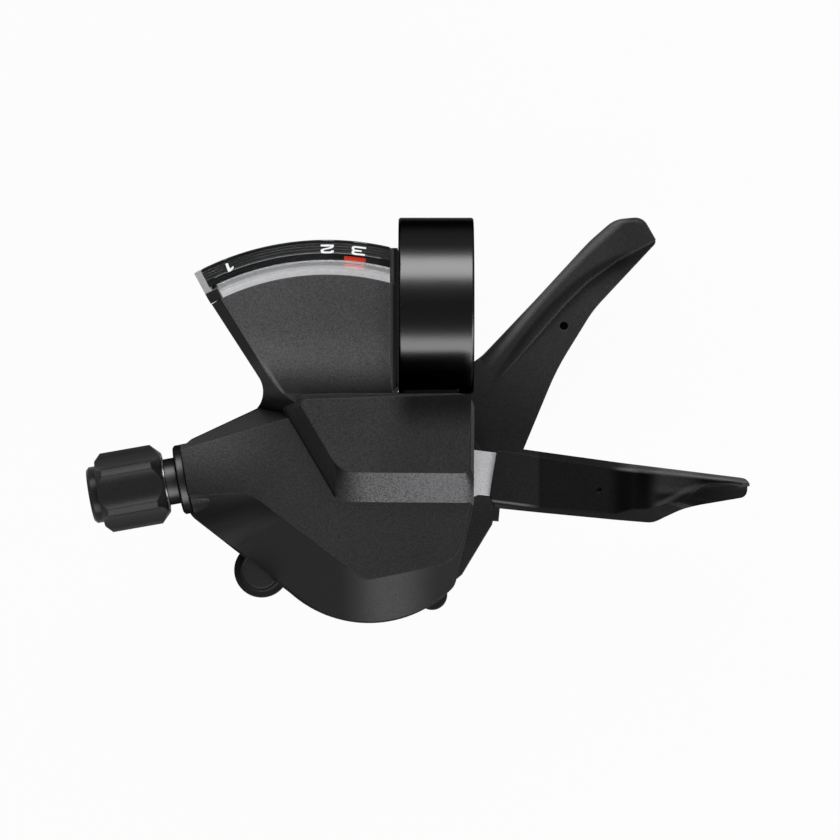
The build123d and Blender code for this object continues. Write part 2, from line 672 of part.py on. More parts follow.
def display_lens():
    """Clear moulding with a flat top over the numbers and a bevel down to the roof."""
    slope = (LENS_TOP_R - LENS_INNER_R) / LENS_RISE
    under = LENS_Z - LENS_WALL
    foot = ROOF_Z - LENS_FOOT
    inner_foot = LENS_INNER_R + LENS_FOOT_WALL
    inner_top = inner_foot + slope * (under - foot)
    lip = LENS_OUTER_R - LENS_LIP
    outer = [(LENS_OUTER_R, NUMBER_Z), (LENS_OUTER_R, LENS_Z - LENS_EDGE), (LENS_OUTER_R - LENS_EDGE, LENS_Z),
             (LENS_TOP_R, LENS_Z), (LENS_INNER_R, ROOF_Z), (LENS_INNER_R, foot)]
    inner = [(inner_foot, foot), (inner_top, under), (lip, under), (lip, NUMBER_Z)]
    lens = swept(outer + inner, DISPLAY_START, DISPLAY_SPAN)
    end = outer + [(inner_foot, NEEDLE_FLOOR_Z), (NUMBER_INNER_R, NEEDLE_FLOOR_Z), (NUMBER_INNER_R, NUMBER_Z)]
    end_start = DISPLAY_START + DISPLAY_SPAN - LENS_END
    lens += swept(end, end_start, LENS_END)
    width = LENS_FACET * 2 ** 0.5
    facet = Rot(0, 0, 90 + LENS_LEFT_ANGLE) * Rot(45, 0, 0) * Box(3 * LENS_OUTER_R, width, width)
    return trim_right(lens - Pos(ARC[0], ARC[1], LENS_Z) * facet)


def scale_plate():
    """Floor of the display with the raised number ledge along its outer edge."""
    floor = roof(LENS_INNER_R + 2 * COVER_WALL, COVER_WALL + 2 * RUN, COVER_TOP)
    floor &= block(ARC[0] - LENS_OUTER_R, 0, BACK_Y + 2 * RUN, LENS_OUTER_R, SCALE_Z, NEEDLE_FLOOR_Z)
    inner = LENS_INNER_R + LENS_FOOT_WALL
    rim = [(inner, SCALE_Z), (LENS_OUTER_R, SCALE_Z), (LENS_OUTER_R, NUMBER_Z),
           (NUMBER_INNER_R, NUMBER_Z), (NUMBER_INNER_R, NEEDLE_FLOOR_Z), (inner, NEEDLE_FLOOR_Z)]
    return floor + trim_right(swept(rim, DISPLAY_START, DISPLAY_SPAN))


def needle_pivot():
    """Pin that hangs from the cover and carries the needle."""
    bottom = NEEDLE_LOW_Z - PIVOT_HEAD - 2 * RUN
    pin = rod(NEEDLE_PIN_R, PIVOT_TOP - bottom, ARC[0], ARC[1], bottom)
    return pin + rod(NEEDLE_HUB_R - RUN, PIVOT_HEAD, ARC[0], ARC[1], bottom)


CENTRE_ANGLE = degrees(atan2(AXLE[1] - ARC[1], AXLE[0] - ARC[0]))
DRUM_PIN_ANGLE = CENTRE_ANGLE - DRUM_TRAVEL / 2
DRUM_PIN = around(AXLE, DRUM_PIN_ORBIT, DRUM_PIN_ANGLE)
TAIL_LENGTH = hypot(DRUM_PIN[0] - ARC[0], DRUM_PIN[1] - ARC[1])
TAIL_ANGLE = degrees(atan2(DRUM_PIN[1] - ARC[1], DRUM_PIN[0] - ARC[0]))
NEEDLE_TRAVEL = 2 * (CENTRE_ANGLE - TAIL_ANGLE)
NEEDLE_HEAD_R = NUMBER_INNER_R - SLIDE - NEEDLE_HEAD_DEPTH


def needle_ends(turn):
    """Riser and head of the needle's upper arm after a turn in degrees."""
    riser = around(ARC, NEEDLE_RISER_R, NEEDLE_HEAD_ANGLE - NEEDLE_RISER_LAG + turn)
    return riser, around(ARC, NEEDLE_HEAD_R, NEEDLE_HEAD_ANGLE + turn)


def bar_between(start, end, width, z0, z1):
    """Round-ended flat bar between two points."""
    return slab(SlotCenterToCenter(hypot(end[0] - start[0], end[1] - start[1]), width).locate(
        Pos((start[0] + end[0]) / 2, (start[1] + end[1]) / 2)
        * Rot(0, 0, degrees(atan2(end[1] - start[1], end[0] - start[0])))), z0, z1)


def needle():
    """Cranked pointer: a slotted tail on the drum pin, a riser and a bright head under the lens."""
    low, high = NEEDLE_LOW_Z, NEEDLE_LOW_Z + NEEDLE_THICKNESS
    riser, head = needle_ends(0)
    head_r = NEEDLE_HEAD_R
    body = rod(NEEDLE_HUB_R, NEEDLE_THICKNESS, ARC[0], ARC[1], low)
    tail_end = around(ARC, TAIL_LENGTH + DRUM_PIN_R / 4, TAIL_ANGLE)
    body += bar_between(ARC, tail_end, 2 * (DRUM_PIN_R + TAIL_WALL), low, high)
    slot = [around(ARC, TAIL_LENGTH + shift, TAIL_ANGLE) for shift in (-DRUM_PIN_R / 4, 5 * DRUM_PIN_R)]
    body -= bar_between(slot[0], slot[1], 2 * (DRUM_PIN_R + RUN), low, high)
    body += bar_between(ARC, riser, NEEDLE_WIDTH, low, high)
    body += rod(NEEDLE_WIDTH / 2, NEEDLE_Z + NEEDLE_THICKNESS - low, riser[0], riser[1], low)
    body += bar_between(riser, head, NEEDLE_WIDTH, NEEDLE_Z, NEEDLE_Z + NEEDLE_THICKNESS)
    half = degrees(NEEDLE_HEAD / 2 / head_r)
    flag = [(head_r, NEEDLE_Z), (head_r + NEEDLE_HEAD_DEPTH, NEEDLE_Z),
            (head_r + NEEDLE_HEAD_DEPTH, NUMBER_Z - LENS_LIP), (head_r, NUMBER_Z - LENS_LIP)]
    body += swept(flag, NEEDLE_HEAD_ANGLE - half, 2 * half)
    return body - rod(NEEDLE_PIN_R + RUN, NEEDLE_THICKNESS, ARC[0], ARC[1], low)


def cable_drum():
    """Grooved drum with a pocket for the cable's end."""
    mid = DRUM_HEIGHT / 2
    half = DRUM_GROOVE / 2
    profile = [(AXLE_R + RUN, 0), (DRUM_FLANGE_R, 0), (DRUM_FLANGE_R, mid - half),
               (DRUM_GROOVE_R, mid - half / 2), (DRUM_GROOVE_R, mid + half / 2), (DRUM_FLANGE_R, mid + half),
               (DRUM_FLANGE_R, DRUM_HEIGHT), (AXLE_R + RUN, DRUM_HEIGHT)]
    face = make_face(Polyline(*[(r, 0, z) for r, z in profile], close=True))
    drum = revolve(face, Axis.Z)
    pocket = rod(CABLE_END_R, mid + half, DRUM_GROOVE_R - CABLE_END_R / 2)
    drum -= Rot(0, 0, CABLE_END_ANGLE) * pocket
    drum -= rod(DRUM_PIN_R, DRUM_HEIGHT, DRUM_PIN[0] - AXLE[0], DRUM_PIN[1] - AXLE[1], mid + half)
    return Pos(AXLE[0], AXLE[1], DRUM_Z) * drum


def drum_pin():
    """Pin on the drum that drives the needle's tail."""
    bottom = DRUM_Z + DRUM_HEIGHT / 2 + DRUM_GROOVE / 2
    return rod(DRUM_PIN_R, NEEDLE_LOW_Z + NEEDLE_THICKNESS + SLIDE - bottom, DRUM_PIN[0], DRUM_PIN[1], bottom)


def ratchet_wheel():
    """Steel wheel with saw teeth for the feed pawl and the hold pawl."""
    points = []
    for i in range(RATCHET_TEETH):
        angle = RATCHET_START + i * RATCHET_PITCH
        points.append(around((0, 0), RATCHET_ROOT_R, angle))
        points.append(around((0, 0), RATCHET_R, angle + RATCHET_PITCH * TOOTH_TIP))
        points.append(around((0, 0), RATCHET_ROOT_R, angle + RATCHET_PITCH * TOOTH_ROOT))
    end_angle = RATCHET_START + RATCHET_PITCH * (RATCHET_TEETH - 1 + TOOTH_ROOT)
    back = around((0, 0), RATCHET_ROOT_R, (end_angle + RATCHET_START + 360) / 2)
    sides = [Line(a, b) for a, b in zip(points, points[1:])]
    sides.append(ThreePointArc(points[-1], back, points[0]))
    face = make_face(sides) - Circle(AXLE_R + RUN)
    return Pos(AXLE[0], AXLE[1], RATCHET_Z) * extrude(face, amount=RATCHET_HEIGHT)


def pawl(angle, turn):
    """Pawl on a pin at an angle about the axle, with its nose turned to the ratchet wheel."""
    centre = around(AXLE, PAWL_ORBIT, angle)
    nose = around(centre, PAWL_NOSE, angle + turn)
    face = Pos(*centre) * Circle(PAWL_HUB_R)
    left = around(centre, PAWL_HUB_R, angle + turn + 90)
    right = around(centre, PAWL_HUB_R, angle + turn - 90)
    face += make_face(Polyline(left, around(nose, NOSE_HALF, angle + turn + 90),
                               around(nose, NOSE_HALF, angle + turn - 90),
                               right, close=True))
    face -= Pos(*centre) * Circle(PAWL_PIN_R + RUN)
    return slab(face, PAWL_Z, PAWL_Z + RATCHET_HEIGHT)


FEED_TURN = -118.0
HOLD_TURN = 130.0


def feed_pawl():
    """Pawl carried by the main lever that pulls the ratchet wheel round."""
    return pawl(FEED_ANGLE, FEED_TURN)


def hold_pawl():
    """Pawl that holds the ratchet wheel until the release lever lifts it."""
    return pawl(HOLD_ANGLE, HOLD_TURN)


def feed_pawl_pin():
    """Pin from the lever's steel plate up through the slot in the base."""
    x, y = around(AXLE, PAWL_ORBIT, FEED_ANGLE)
    bottom = HUB_TOP - LEVER_PLATE
    pin = rod(PAWL_PIN_R, PIN_TOP - bottom, x, y, bottom)
    return pin + rod(PAWL_PIN_R + PIN_HEAD_RIM, PIN_HEAD, x, y, PIN_TOP - PIN_HEAD)


def hold_pawl_pin():
    """Pin riveted in the base plate for the hold pawl."""
    x, y = around(AXLE, PAWL_ORBIT, HOLD_ANGLE)
    pin = rod(PAWL_PIN_R, PIN_TOP - FLOOR_Z, x, y, FLOOR_Z)
    pin += rod(PAWL_PIN_R + PIN_HEAD_RIM, PIN_HEAD, x, y, PIN_TOP - PIN_HEAD)
    return pin + rod(PAWL_PIN_R + PIN_HEAD_RIM, PIN_HEAD, x, y, BASE_PLATE_TOP)


def pawl_spring(angle):
    """Small torsion coil on a pawl's pin, under the pawl."""
    x, y = around(AXLE, PAWL_ORBIT, angle)
    pitch = 2 * (WIRE_R + RUN)
    low = PAWL_Z - PAWL_TURNS * pitch - 2 * WIRE_R - 2 * RUN
    return coil(PAWL_PIN_R + WIRE_R + 2 * RUN, WIRE_R, PAWL_TURNS, pitch, x, y, low)


def drum_spring():
    """Torsion coil round the thrust sleeve that lets the drum run back."""
    radius = SLEEVE_R + WIRE_R + 3 * RUN
    return coil(radius, WIRE_R, 2, 2 * (WIRE_R + RUN), AXLE[0], AXLE[1], SLEEVE_Z + RUN)


def release_spring():
    """Torsion coil round the axle under the release plate."""
    wire = RELEASE_WIRE_R
    low = BASE_PLATE_TOP + AXLE_FLANGE + RUN
    return coil(AXLE_R + wire + 3 * RUN, wire, 1.5, 2 * wire + RUN, AXLE[0], AXLE[1], low)


# Main lever outline past the hub: the thumb side, the tip and the back edge.
LEVER_POINTS = [(-14.0, 4.0), (6.7, -5.4), (16.3, -15.5), (24.4, -24.3), (28.4, -27.8), (32.9, -28.2),
                (35.2, -24.2), (25.1, -13.4), (19.3, -4.0), (10.1, 18.1), (2.0, 28.0)]
LEVER_RADII = [2.0, 10.0, 60.0, 20.0, 4.5, 2.2, 0.8, 18.0, 40.0, 12.0, 2.0]
# Inner side of the thumb roll, from its low end to the tip.
ROLL_INNER = [(10.0, -2.4), (13.5, -6.2), (20.5, -14.25), (24.2, -17.9), (28.9, -21.3), (37.0, -25.6)]
ROLL_WIDTH = 20.0
THUMB_HOLE = (20.4, -10.9)


def roll_direction():
    """Direction of the thumb roll in plan and the length over which its top rises."""
    (x0, y0), (x1, y1) = at(*ROLL_INNER[0]), at(*ROLL_INNER[-2])
    run = hypot(x1 - x0, y1 - y0)
    return (x1 - x0) / run, (y1 - y0) / run, run


def roll_face(arm):
    """Plan of the thumb roll inside the lever's outline."""
    ux, uy, run = roll_direction()
    points = [at(x, depth) for x, depth in ROLL_INNER]
    outside = [(x - uy * ROLL_WIDTH, y + ux * ROLL_WIDTH) for x, y in (points[-1], points[0])]
    return arm & make_face(Polyline(*points, *outside, close=True))


def thumb_roll(arm):
    """Deep roll along the thumb edge whose top rises towards the tip, rounded on the thumb's side."""
    ux, uy, run = roll_direction()
    slope = THUMB_RISE / run
    pad = slab(roll_face(arm), WEB_TOP - THUMB_DEPTH, WEB_TOP + 2 * THUMB_RISE)
    start = at(*ROLL_INNER[0])
    rise = Plane(origin=(*start, WEB_TOP), z_dir=(-slope * ux, -slope * uy, 1))
    pad = split(pad, bisect_by=rise, keep=Keep.BOTTOM)
    edge = arm.faces()[0].outer_wire()
    top = pad.faces().sort_by(Axis.Z)[-1]
    rounded = []
    for line in top.edges():
        middle = line @ 0.5
        if edge.distance_to(Vector(middle.X, middle.Y, 0)) < RUN:
            rounded.append(line)
    return fillet(rounded, THUMB_ROUND)


def main_lever():
    """Thumb lever: a cupped hub with a stop, a web and a deep thumb roll along its rear edge."""
    arm = outline([at(x, depth) for x, depth in LEVER_POINTS], LEVER_RADII)
    stop = Rot(0, 0, STOP_ANGLE) * Pos(STOP_R / 2, 0) * Rectangle(STOP_R, STOP_WIDTH)
    flat = Rot(0, 0, HUB_FLAT_ANGLE) * Pos(HUB_FLAT_R + HUB_R, 0) * Rectangle(2 * HUB_R, 2 * HUB_R)
    hub = Pos(*AXLE) * (Circle(HUB_R) - flat + stop)
    lever = slab(arm - roll_face(arm), WEB_BOTTOM, WEB_TOP)
    lever += slab(hub, HUB_BOTTOM, HUB_TOP)
    lever += thumb_roll(arm)
    lever -= rod(AXLE_R + RUN, HUB_HEIGHT, AXLE[0], AXLE[1], HUB_BOTTOM)
    lever -= slab(lever_plate_face(), HUB_TOP - LEVER_PLATE, HUB_TOP)
    cup = Circle(CUP_OUTER_R) - Circle(CUP_INNER_R)
    lever -= Pos(AXLE[0], AXLE[1], HUB_TOP - LEVER_PLATE - CUP_DEPTH) * extrude(cup, amount=CUP_DEPTH)
    for x, y in rivet_points():
        lever -= rod(RIVET_R, HUB_HEIGHT, x, y, HUB_BOTTOM)
    return lever - place(*THUMB_HOLE, WEB_TOP - WEB_THICKNESS / 2) * rod(THUMB_HOLE_R, WEB_THICKNESS)


def rivet_points():
    """Places of the rivets that hold the steel plate in the main lever."""
    return [around(AXLE, LEVER_PLATE_R - RIVET_INSET, angle) for angle in RIVET_ANGLES]


def lever_plate_face():
    """Plan of the steel insert: a disc with a lobe under the feed pawl's pin."""
    pin = around((0, 0), PAWL_ORBIT, FEED_ANGLE)
    return Pos(*AXLE) * (Circle(LEVER_PLATE_R) + Pos(*pin) * Circle(LEVER_PLATE_LOBE_R))


def lever_plate():
    """Steel insert in the main lever's hub."""
    plate = slab(lever_plate_face(), HUB_TOP - LEVER_PLATE, HUB_TOP)
    holes = [(x, y, RIVET_R) for x, y in rivet_points()]
    holes.append((*around(AXLE, PAWL_ORBIT, FEED_ANGLE), PAWL_PIN_R))
    holes.append((*AXLE, AXLE_R + RUN))
    for x, y, radius in holes:
        plate -= rod(radius, HUB_HEIGHT, x, y, HUB_BOTTOM)
    return plate


def lever_rivets():
    """Rivets through the main lever's hub and its steel plate."""
    rivets = []
    for x, y in rivet_points():
        rivet = rod(RIVET_R, HUB_HEIGHT, x, y, HUB_BOTTOM)
        rivets.append(rivet + rod(RIVET_R + RIVET_RIM, RIVET_CAP, x, y, HUB_BOTTOM - RIVET_CAP))
    return Compound(children=rivets)


def lever_spring():
    """Torsion coil in the hub's cup that brings the main lever back."""
    wire = LEVER_WIRE_R
    middle = (CUP_INNER_R + CUP_OUTER_R) / 2
    return coil(middle, wire, 2, 2 * wire + RUN, AXLE[0], AXLE[1], HUB_TOP - LEVER_PLATE - CUP_DEPTH + RUN)


# Release lever outline, from the cover outwards along its rear edge and back along the finger edge.
RELEASE_POINTS = [(9.6, 8.4), (13.8, 8.7), (28.8, 10.8), (49.3, 13.35), (49.1, 16.25), (39.7, 17.75),
                  (34.3, 20.35), (16.6, 18.65), (9.2, 17.9), (8.4, 15.9)]
RELEASE_RADII = [0.8, 8.0, 20.0, 1.2, 1.2, 16.0, 3.5, 12.0, 1.0, 1.0]
RELEASE_ARM = [(-4.0, 12.0), (4.9, 11.4), (6.0, 8.8), (20.0, 10.6), (20.0, 17.4), (6.6, 15.8), (-2.0, 20.0)]


def release_plate():
    """Steel plate on the axle that runs out through the housing's window into the release lever."""
    face = Pos(*AXLE) * Circle(RELEASE_RING_R)
    face += make_face(Polyline(*[at(x, depth) for x, depth in RELEASE_ARM], close=True))
    face -= Pos(*AXLE) * Circle(AXLE_R + RUN)
    for x, y in release_rivet_points():
        face -= Pos(x, y) * Circle(RIVET_R)
    return slab(face, RELEASE_Z, RELEASE_Z + RELEASE_PLATE)


RELEASE_RIVETS = [(12.4, 12.6), (17.6, 13.8)]
RIVET_HEAD = 1.0


def release_rivet_points():
    """Places of the rivets between the release plate and its lever."""
    return [at(x, depth) for x, depth in RELEASE_RIVETS]


# Top edge of the release lever, inside its outline, with the lower edge of the finger pad.
RELEASE_TOP = [(9.8, 9.0), (28.8, 11.7), (48.0, 13.9), (47.9, 14.7), (46.5, 14.3), (41.0, 13.9), (38.3, 14.6),
               (34.7, 15.6), (31.6, 17.8), (28.0, 18.8), (9.6, 17.2), (9.2, 15.9)]
RELEASE_TOP_RADII = [0.5, 20.0, 0.3, 0.3, 2.0, 6.0, 6.0, 4.0, 3.0, 4.0, 0.5, 0.5]
# Side view of the finger pad: x and depth below the top, from its steep end to the tip.
PAD_DROP = [(30.0, 0.0), (31.6, 0.5), (33.4, 2.0), (35.4, 2.7), (40.0, 2.2), (50.0, 0.5)]
PAD_START = (22.0, 27.0)
RAMP_END = 16.7
DIMPLE = (25.45, 15.0)
DIMPLE_DEPTH = 0.4


def finger_pad(top):
    """Waste above the finger pad, leaving a thin rim along the lever's rear edge."""
    side = Spline(*[(x, 0, top - drop) for x, drop in PAD_DROP])
    start, end = PAD_DROP[0][0], PAD_DROP[-1][0]
    above = top + 1
    roofline = Polyline((end, 0, top - PAD_DROP[-1][1]), (end, 0, above), (start, 0, above), (start, 0, top))
    waste = extrude(make_face([side, roofline]), amount=end, dir=(0, -1, 0))
    rear = [at(x, depth + RELEASE_RIM) for x, depth in RELEASE_POINTS[2:4]]
    (x0, y0), (x1, y1) = rear
    reach = y0 + (y1 - y0) * (end - x0) / (x1 - x0)
    front = [(x0, y0), (end, reach), (end, reach - FINGER_DEPTH * 2), (x0, y0 - FINGER_DEPTH * 2)]
    return waste & slab(make_face(Polyline(*front, close=True)), top - FINGER_DEPTH, top + 1)


def release_lever():
    """Finger lever moulded on the release plate, with a bevelled edge and a scooped finger pad."""
    arm = outline([at(x, depth) for x, depth in RELEASE_POINTS], RELEASE_RADII)
    upper = outline([at(x, depth) for x, depth in RELEASE_TOP], RELEASE_TOP_RADII)
    top = RELEASE_Z + RELEASE_PLATE + RELEASE_COVER
    inner, outer = PAD_START
    reach = RELEASE_POINTS[3][0] + 1
    pad_plan = make_face(Polyline(at(inner, 0), at(reach, 0), at(reach, reach), at(outer, reach),
                                  close=True))
    walls = slab(arm, top - RELEASE_BODY, top) + slab(arm & pad_plan, top - FINGER_DEPTH, top)
    lever = walls & tapered(upper, top, top - FINGER_DEPTH, RELEASE_BEVEL_ANGLE)
    lever -= finger_pad(top)
    lean = (-RELEASE_RAMP, 0, RAMP_END - RELEASE_TOP[0][0])
    ramp = Plane(origin=(RAMP_END, AXLE[1], top), z_dir=lean)
    lever = split(lever, bisect_by=ramp, keep=Keep.BOTTOM)
    lever -= release_plate()
    lever -= place(*DIMPLE, top - DIMPLE_DEPTH) * rod(DIMPLE_R, 1.0)
    return lever - release_rivets()


def release_rivets():
    """Rivets between the release plate and its lever, blind at the top."""
    rivets = []
    length = RIVET_HEAD + RELEASE_PLATE + RELEASE_COVER / 2
    for x, y in release_rivet_points():
        rivets.append(rod(RIVET_R, length, x, y, RELEASE_Z - RIVET_HEAD))
    return Compound(children=rivets)


COLLAR_END = COLLAR_LENGTH / 2
KNOB_START = COLLAR_END + NECK_LENGTH
NECK_END = KNOB_START - 4 * RUN
KNOB_LENGTH = KNOB_TAPER + KNOB_LOBE_LENGTH + KNOB_RING_LENGTH


def adjuster_insert():
    """Threaded collar and neck seated in the cover's boss."""
    collar = along(COLLAR_R, -COLLAR_END, COLLAR_END)
    collar = chamfer(collar.edges().filter_by(GeomType.CIRCLE), SLIDE)
    collar += along(INSERT_R, -BOSS_LENGTH + 1, -COLLAR_END)
    collar += along(NECK_R, COLLAR_END, NECK_END)
    return collar - along(BARREL_R + RUN, -2 * BOSS_LENGTH, BOSS_LENGTH)


def adjuster_washer():
    """Keyed detent washer in the knob's mouth, on the end of the neck."""
    start = NECK_END + RUN
    return along(NECK_R, start, start + DETENT_WASHER) - along(BARREL_R + RUN, 0, KNOB_LENGTH)


def adjuster_spring():
    """Coil inside the knob's mouth that keeps its clicks tight."""
    start = NECK_END + DETENT_WASHER + 2 * RUN
    pitch = (KNOB_START + KNOB_MOUTH - start - 2 * WIRE_R - RUN) / 2
    return ADJ * coil(BARREL_R + WIRE_R + 3 * RUN, WIRE_R, 2, pitch, 0, 0, start)


def adjuster_barrel():
    """Hollow threaded barrel with the casing socket in its outer end."""
    end = KNOB_START + KNOB_LENGTH - KNOB_RING_LENGTH
    shoulder = KNOB_START + KNOB_MOUTH
    barrel = along(BARREL_R, -BOSS_LENGTH + 2, shoulder)
    barrel += along(BARREL_R + BARREL_SHOULDER, shoulder, end)
    barrel -= along(INNER_WIRE_R, -2 * BOSS_LENGTH, 2 * KNOB_LENGTH)
    return barrel - along(CASING_R, end - CASING_DEPTH, end)


def adjuster_knob():
    """Lobed finger knob with a plain ring at its end."""
    length = KNOB_TAPER + KNOB_LOBE_LENGTH
    end = KNOB_LENGTH
    profile = [(0, 0), (KNOB_R - KNOB_TAPER, 0), (KNOB_R, KNOB_TAPER), (KNOB_R, length - KNOB_END),
               (KNOB_R - KNOB_END, length), (KNOB_RING_R, length), (KNOB_RING_R, end - KNOB_RING_EDGE),
               (KNOB_RING_R - KNOB_RING_EDGE, end), (0, end)]
    knob = revolve(make_face(Polyline(*[(r, 0, z) for r, z in profile], close=True)), Axis.Z)
    reach = KNOB_R - KNOB_FLUTE_DEPTH + KNOB_FLUTE_R
    for i in range(KNOB_LOBES):
        flute = rod(KNOB_FLUTE_R, KNOB_LOBE_LENGTH + KNOB_TAPER, reach, 0, 0)
        knob -= Rot(0, 0, i * 360 / KNOB_LOBES) * flute
    knob = ADJ * Pos(0, 0, KNOB_START) * knob
    knob -= along(KNOB_MOUTH_R, 0, KNOB_START + KNOB_MOUTH)
    knob -= along(BARREL_R + BARREL_SHOULDER, KNOB_START + KNOB_MOUTH, KNOB_START + length)
    return knob - along(CASING_R + 3 * RUN, KNOB_START + length, KNOB_START + 2 * length)


def cover_screws():
    """Screws from below that pull the cover onto the base."""
    screws = []
    for x, depth in SCREWS:
        screw = rod(SCREW_R, SCREW_GRIP + BASE_DEPTH) + rod(SCREW_HEAD_R, SCREW_HEAD)
        screw -= Box(SCREW_CROSS, 2 * SCREW_R, SCREW_HEAD) + Box(2 * SCREW_R, SCREW_CROSS, SCREW_HEAD)
        screws.append(place(x, depth, BASE_Z) * screw)
    return Compound(children=screws)


def cable_plug():
    """Plug of the cable access hole with a coin slot in its lower face."""
    plug = rod(PLUG_R, PLUG_HEAD, 0, 0, -PLUG_HEAD)
    plug = fillet(plug.faces().sort_by(Axis.Z)[0].edges(), PLUG_ROUND)
    plug += rod(PLUG_STEM_R, PLUG_LENGTH)
    plug -= Pos(0, 0, -PLUG_HEAD) * Box(2 * PLUG_STEM_R, PLUG_SLOT, PLUG_HEAD)
    return place(PLUG_X, PLUG_DEPTH, BASE_Z) * plug


NODES = {
    "top_cover": top_cover,
    "base_bracket": base_bracket,
    "base_plate": base_plate,
    "main_axle": main_axle,
    "axle_clip": axle_clip,
    "axle_washer": axle_washer,
    "axle_nut": axle_nut,
    "thrust_sleeve": thrust_sleeve,
    "clamp_band": clamp_band,
    "clamp_bolt": clamp_bolt,
    "clamp_nut": clamp_nut,
    "display_lens": display_lens,
    "scale_plate": scale_plate,
    "needle_pivot": needle_pivot,
    "needle": needle,
    "cable_drum": cable_drum,
    "ratchet_wheel": ratchet_wheel,
    "drum_pin": drum_pin,
    "drum_spring": drum_spring,
    "feed_pawl": feed_pawl,
    "feed_pawl_pin": feed_pawl_pin,
    "feed_pawl_spring": lambda: pawl_spring(FEED_ANGLE),
    "hold_pawl": hold_pawl,
    "hold_pawl_pin": hold_pawl_pin,
    "hold_pawl_spring": lambda: pawl_spring(HOLD_ANGLE),
    "main_lever": main_lever,
    "lever_plate": lever_plate,
    "lever_rivets": lever_rivets,
    "lever_spring": lever_spring,
    "release_plate": release_plate,
    "release_lever": release_lever,
    "release_rivets": release_rivets,
    "release_spring": release_spring,
    "adjuster_insert": adjuster_insert,
    "adjuster_washer": adjuster_washer,
    "adjuster_spring": adjuster_spring,
    "adjuster_barrel": adjuster_barrel,
    "adjuster_knob": adjuster_knob,
    "cover_screws": cover_screws,
    "cable_plug": cable_plug,
}

os.makedirs("parts", exist_ok=True)
for name, build in NODES.items():
    export_step(build(), f"parts/{name}.step")
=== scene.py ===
import logging
from dataclasses import dataclass, field
from enum import Enum
from functools import cached_property
from math import cos, pi, radians, sin, tan
from typing import ClassVar, Union

import bmesh
import bpy
from mathutils import Matrix, Vector


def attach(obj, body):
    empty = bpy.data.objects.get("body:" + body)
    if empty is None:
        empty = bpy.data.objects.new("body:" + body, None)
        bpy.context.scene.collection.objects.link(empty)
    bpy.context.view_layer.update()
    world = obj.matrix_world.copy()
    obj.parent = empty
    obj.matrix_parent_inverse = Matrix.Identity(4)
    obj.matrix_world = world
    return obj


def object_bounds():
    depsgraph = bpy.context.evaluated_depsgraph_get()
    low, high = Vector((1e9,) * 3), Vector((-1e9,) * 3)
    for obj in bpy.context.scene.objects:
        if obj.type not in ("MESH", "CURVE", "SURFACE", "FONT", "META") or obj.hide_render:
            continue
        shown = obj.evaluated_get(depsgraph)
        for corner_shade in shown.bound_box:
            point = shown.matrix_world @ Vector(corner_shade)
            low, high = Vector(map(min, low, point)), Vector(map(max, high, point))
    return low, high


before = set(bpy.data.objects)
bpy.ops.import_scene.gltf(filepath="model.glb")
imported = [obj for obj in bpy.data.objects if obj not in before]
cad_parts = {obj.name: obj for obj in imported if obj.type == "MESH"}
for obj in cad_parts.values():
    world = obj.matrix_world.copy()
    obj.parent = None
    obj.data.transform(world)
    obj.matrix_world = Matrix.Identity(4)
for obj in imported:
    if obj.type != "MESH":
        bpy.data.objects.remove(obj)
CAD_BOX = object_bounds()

LOG = logging.getLogger("shifter")

# Everything is in metres, in the frame of the imported solids. Only the spans and lines that
# paint light and shade onto a moulding by its place are in millimetres.
MM = 0.001
ARC_CENTRE = (-16.7 * MM, -32.9 * MM)
AXLE_CENTRE = (-6.2 * MM, -30.6 * MM)
BLACK = (0.0, 0.0, 0.0)
WHITE = (1.0, 1.0, 1.0)

Colour = tuple[float, float, float]
Point = tuple[float, float]
Span = tuple[float, float]
Value = Union["Sock", float, tuple[float, ...]]


class Body(str, Enum):
    """Bodies that added pieces ride on."""

    HOUSING = "housing"


class Slot(str, Enum):
    """Material slots of the record that added pieces take their finish from."""

    SCALE = "scale_black"
    BASE = "base_plastic"


class Axis(str, Enum):
    """Axes of the shared frame."""

    X = "X"
    Y = "Y"
    Z = "Z"


class Ray(str, Enum):
    """Kinds of rays that a shader can tell apart."""

    CAMERA = "Is Camera Ray"
    GLOSSY = "Is Glossy Ray"
    GLASS = "Is Transmission Ray"
    SHADOW = "Is Shadow Ray"


@dataclass(frozen=True)
class Fade:
    """Smooth change from one value to another across a span of a coordinate."""

    start: float
    end: float
    before: float = 0.0
    after: float = 1.0


@dataclass(frozen=True)
class Peak:
    """Smooth rise from 0 to 1 and fall back to 0 along a coordinate."""

    start: float
    full: float
    ebb: float
    end: float


@dataclass(frozen=True)
class Noise:
    """Cells per metre of a noise, its octaves and the strength of the finer ones."""

    scale: float
    octaves: float = 2.0
    finer: float = 0.5


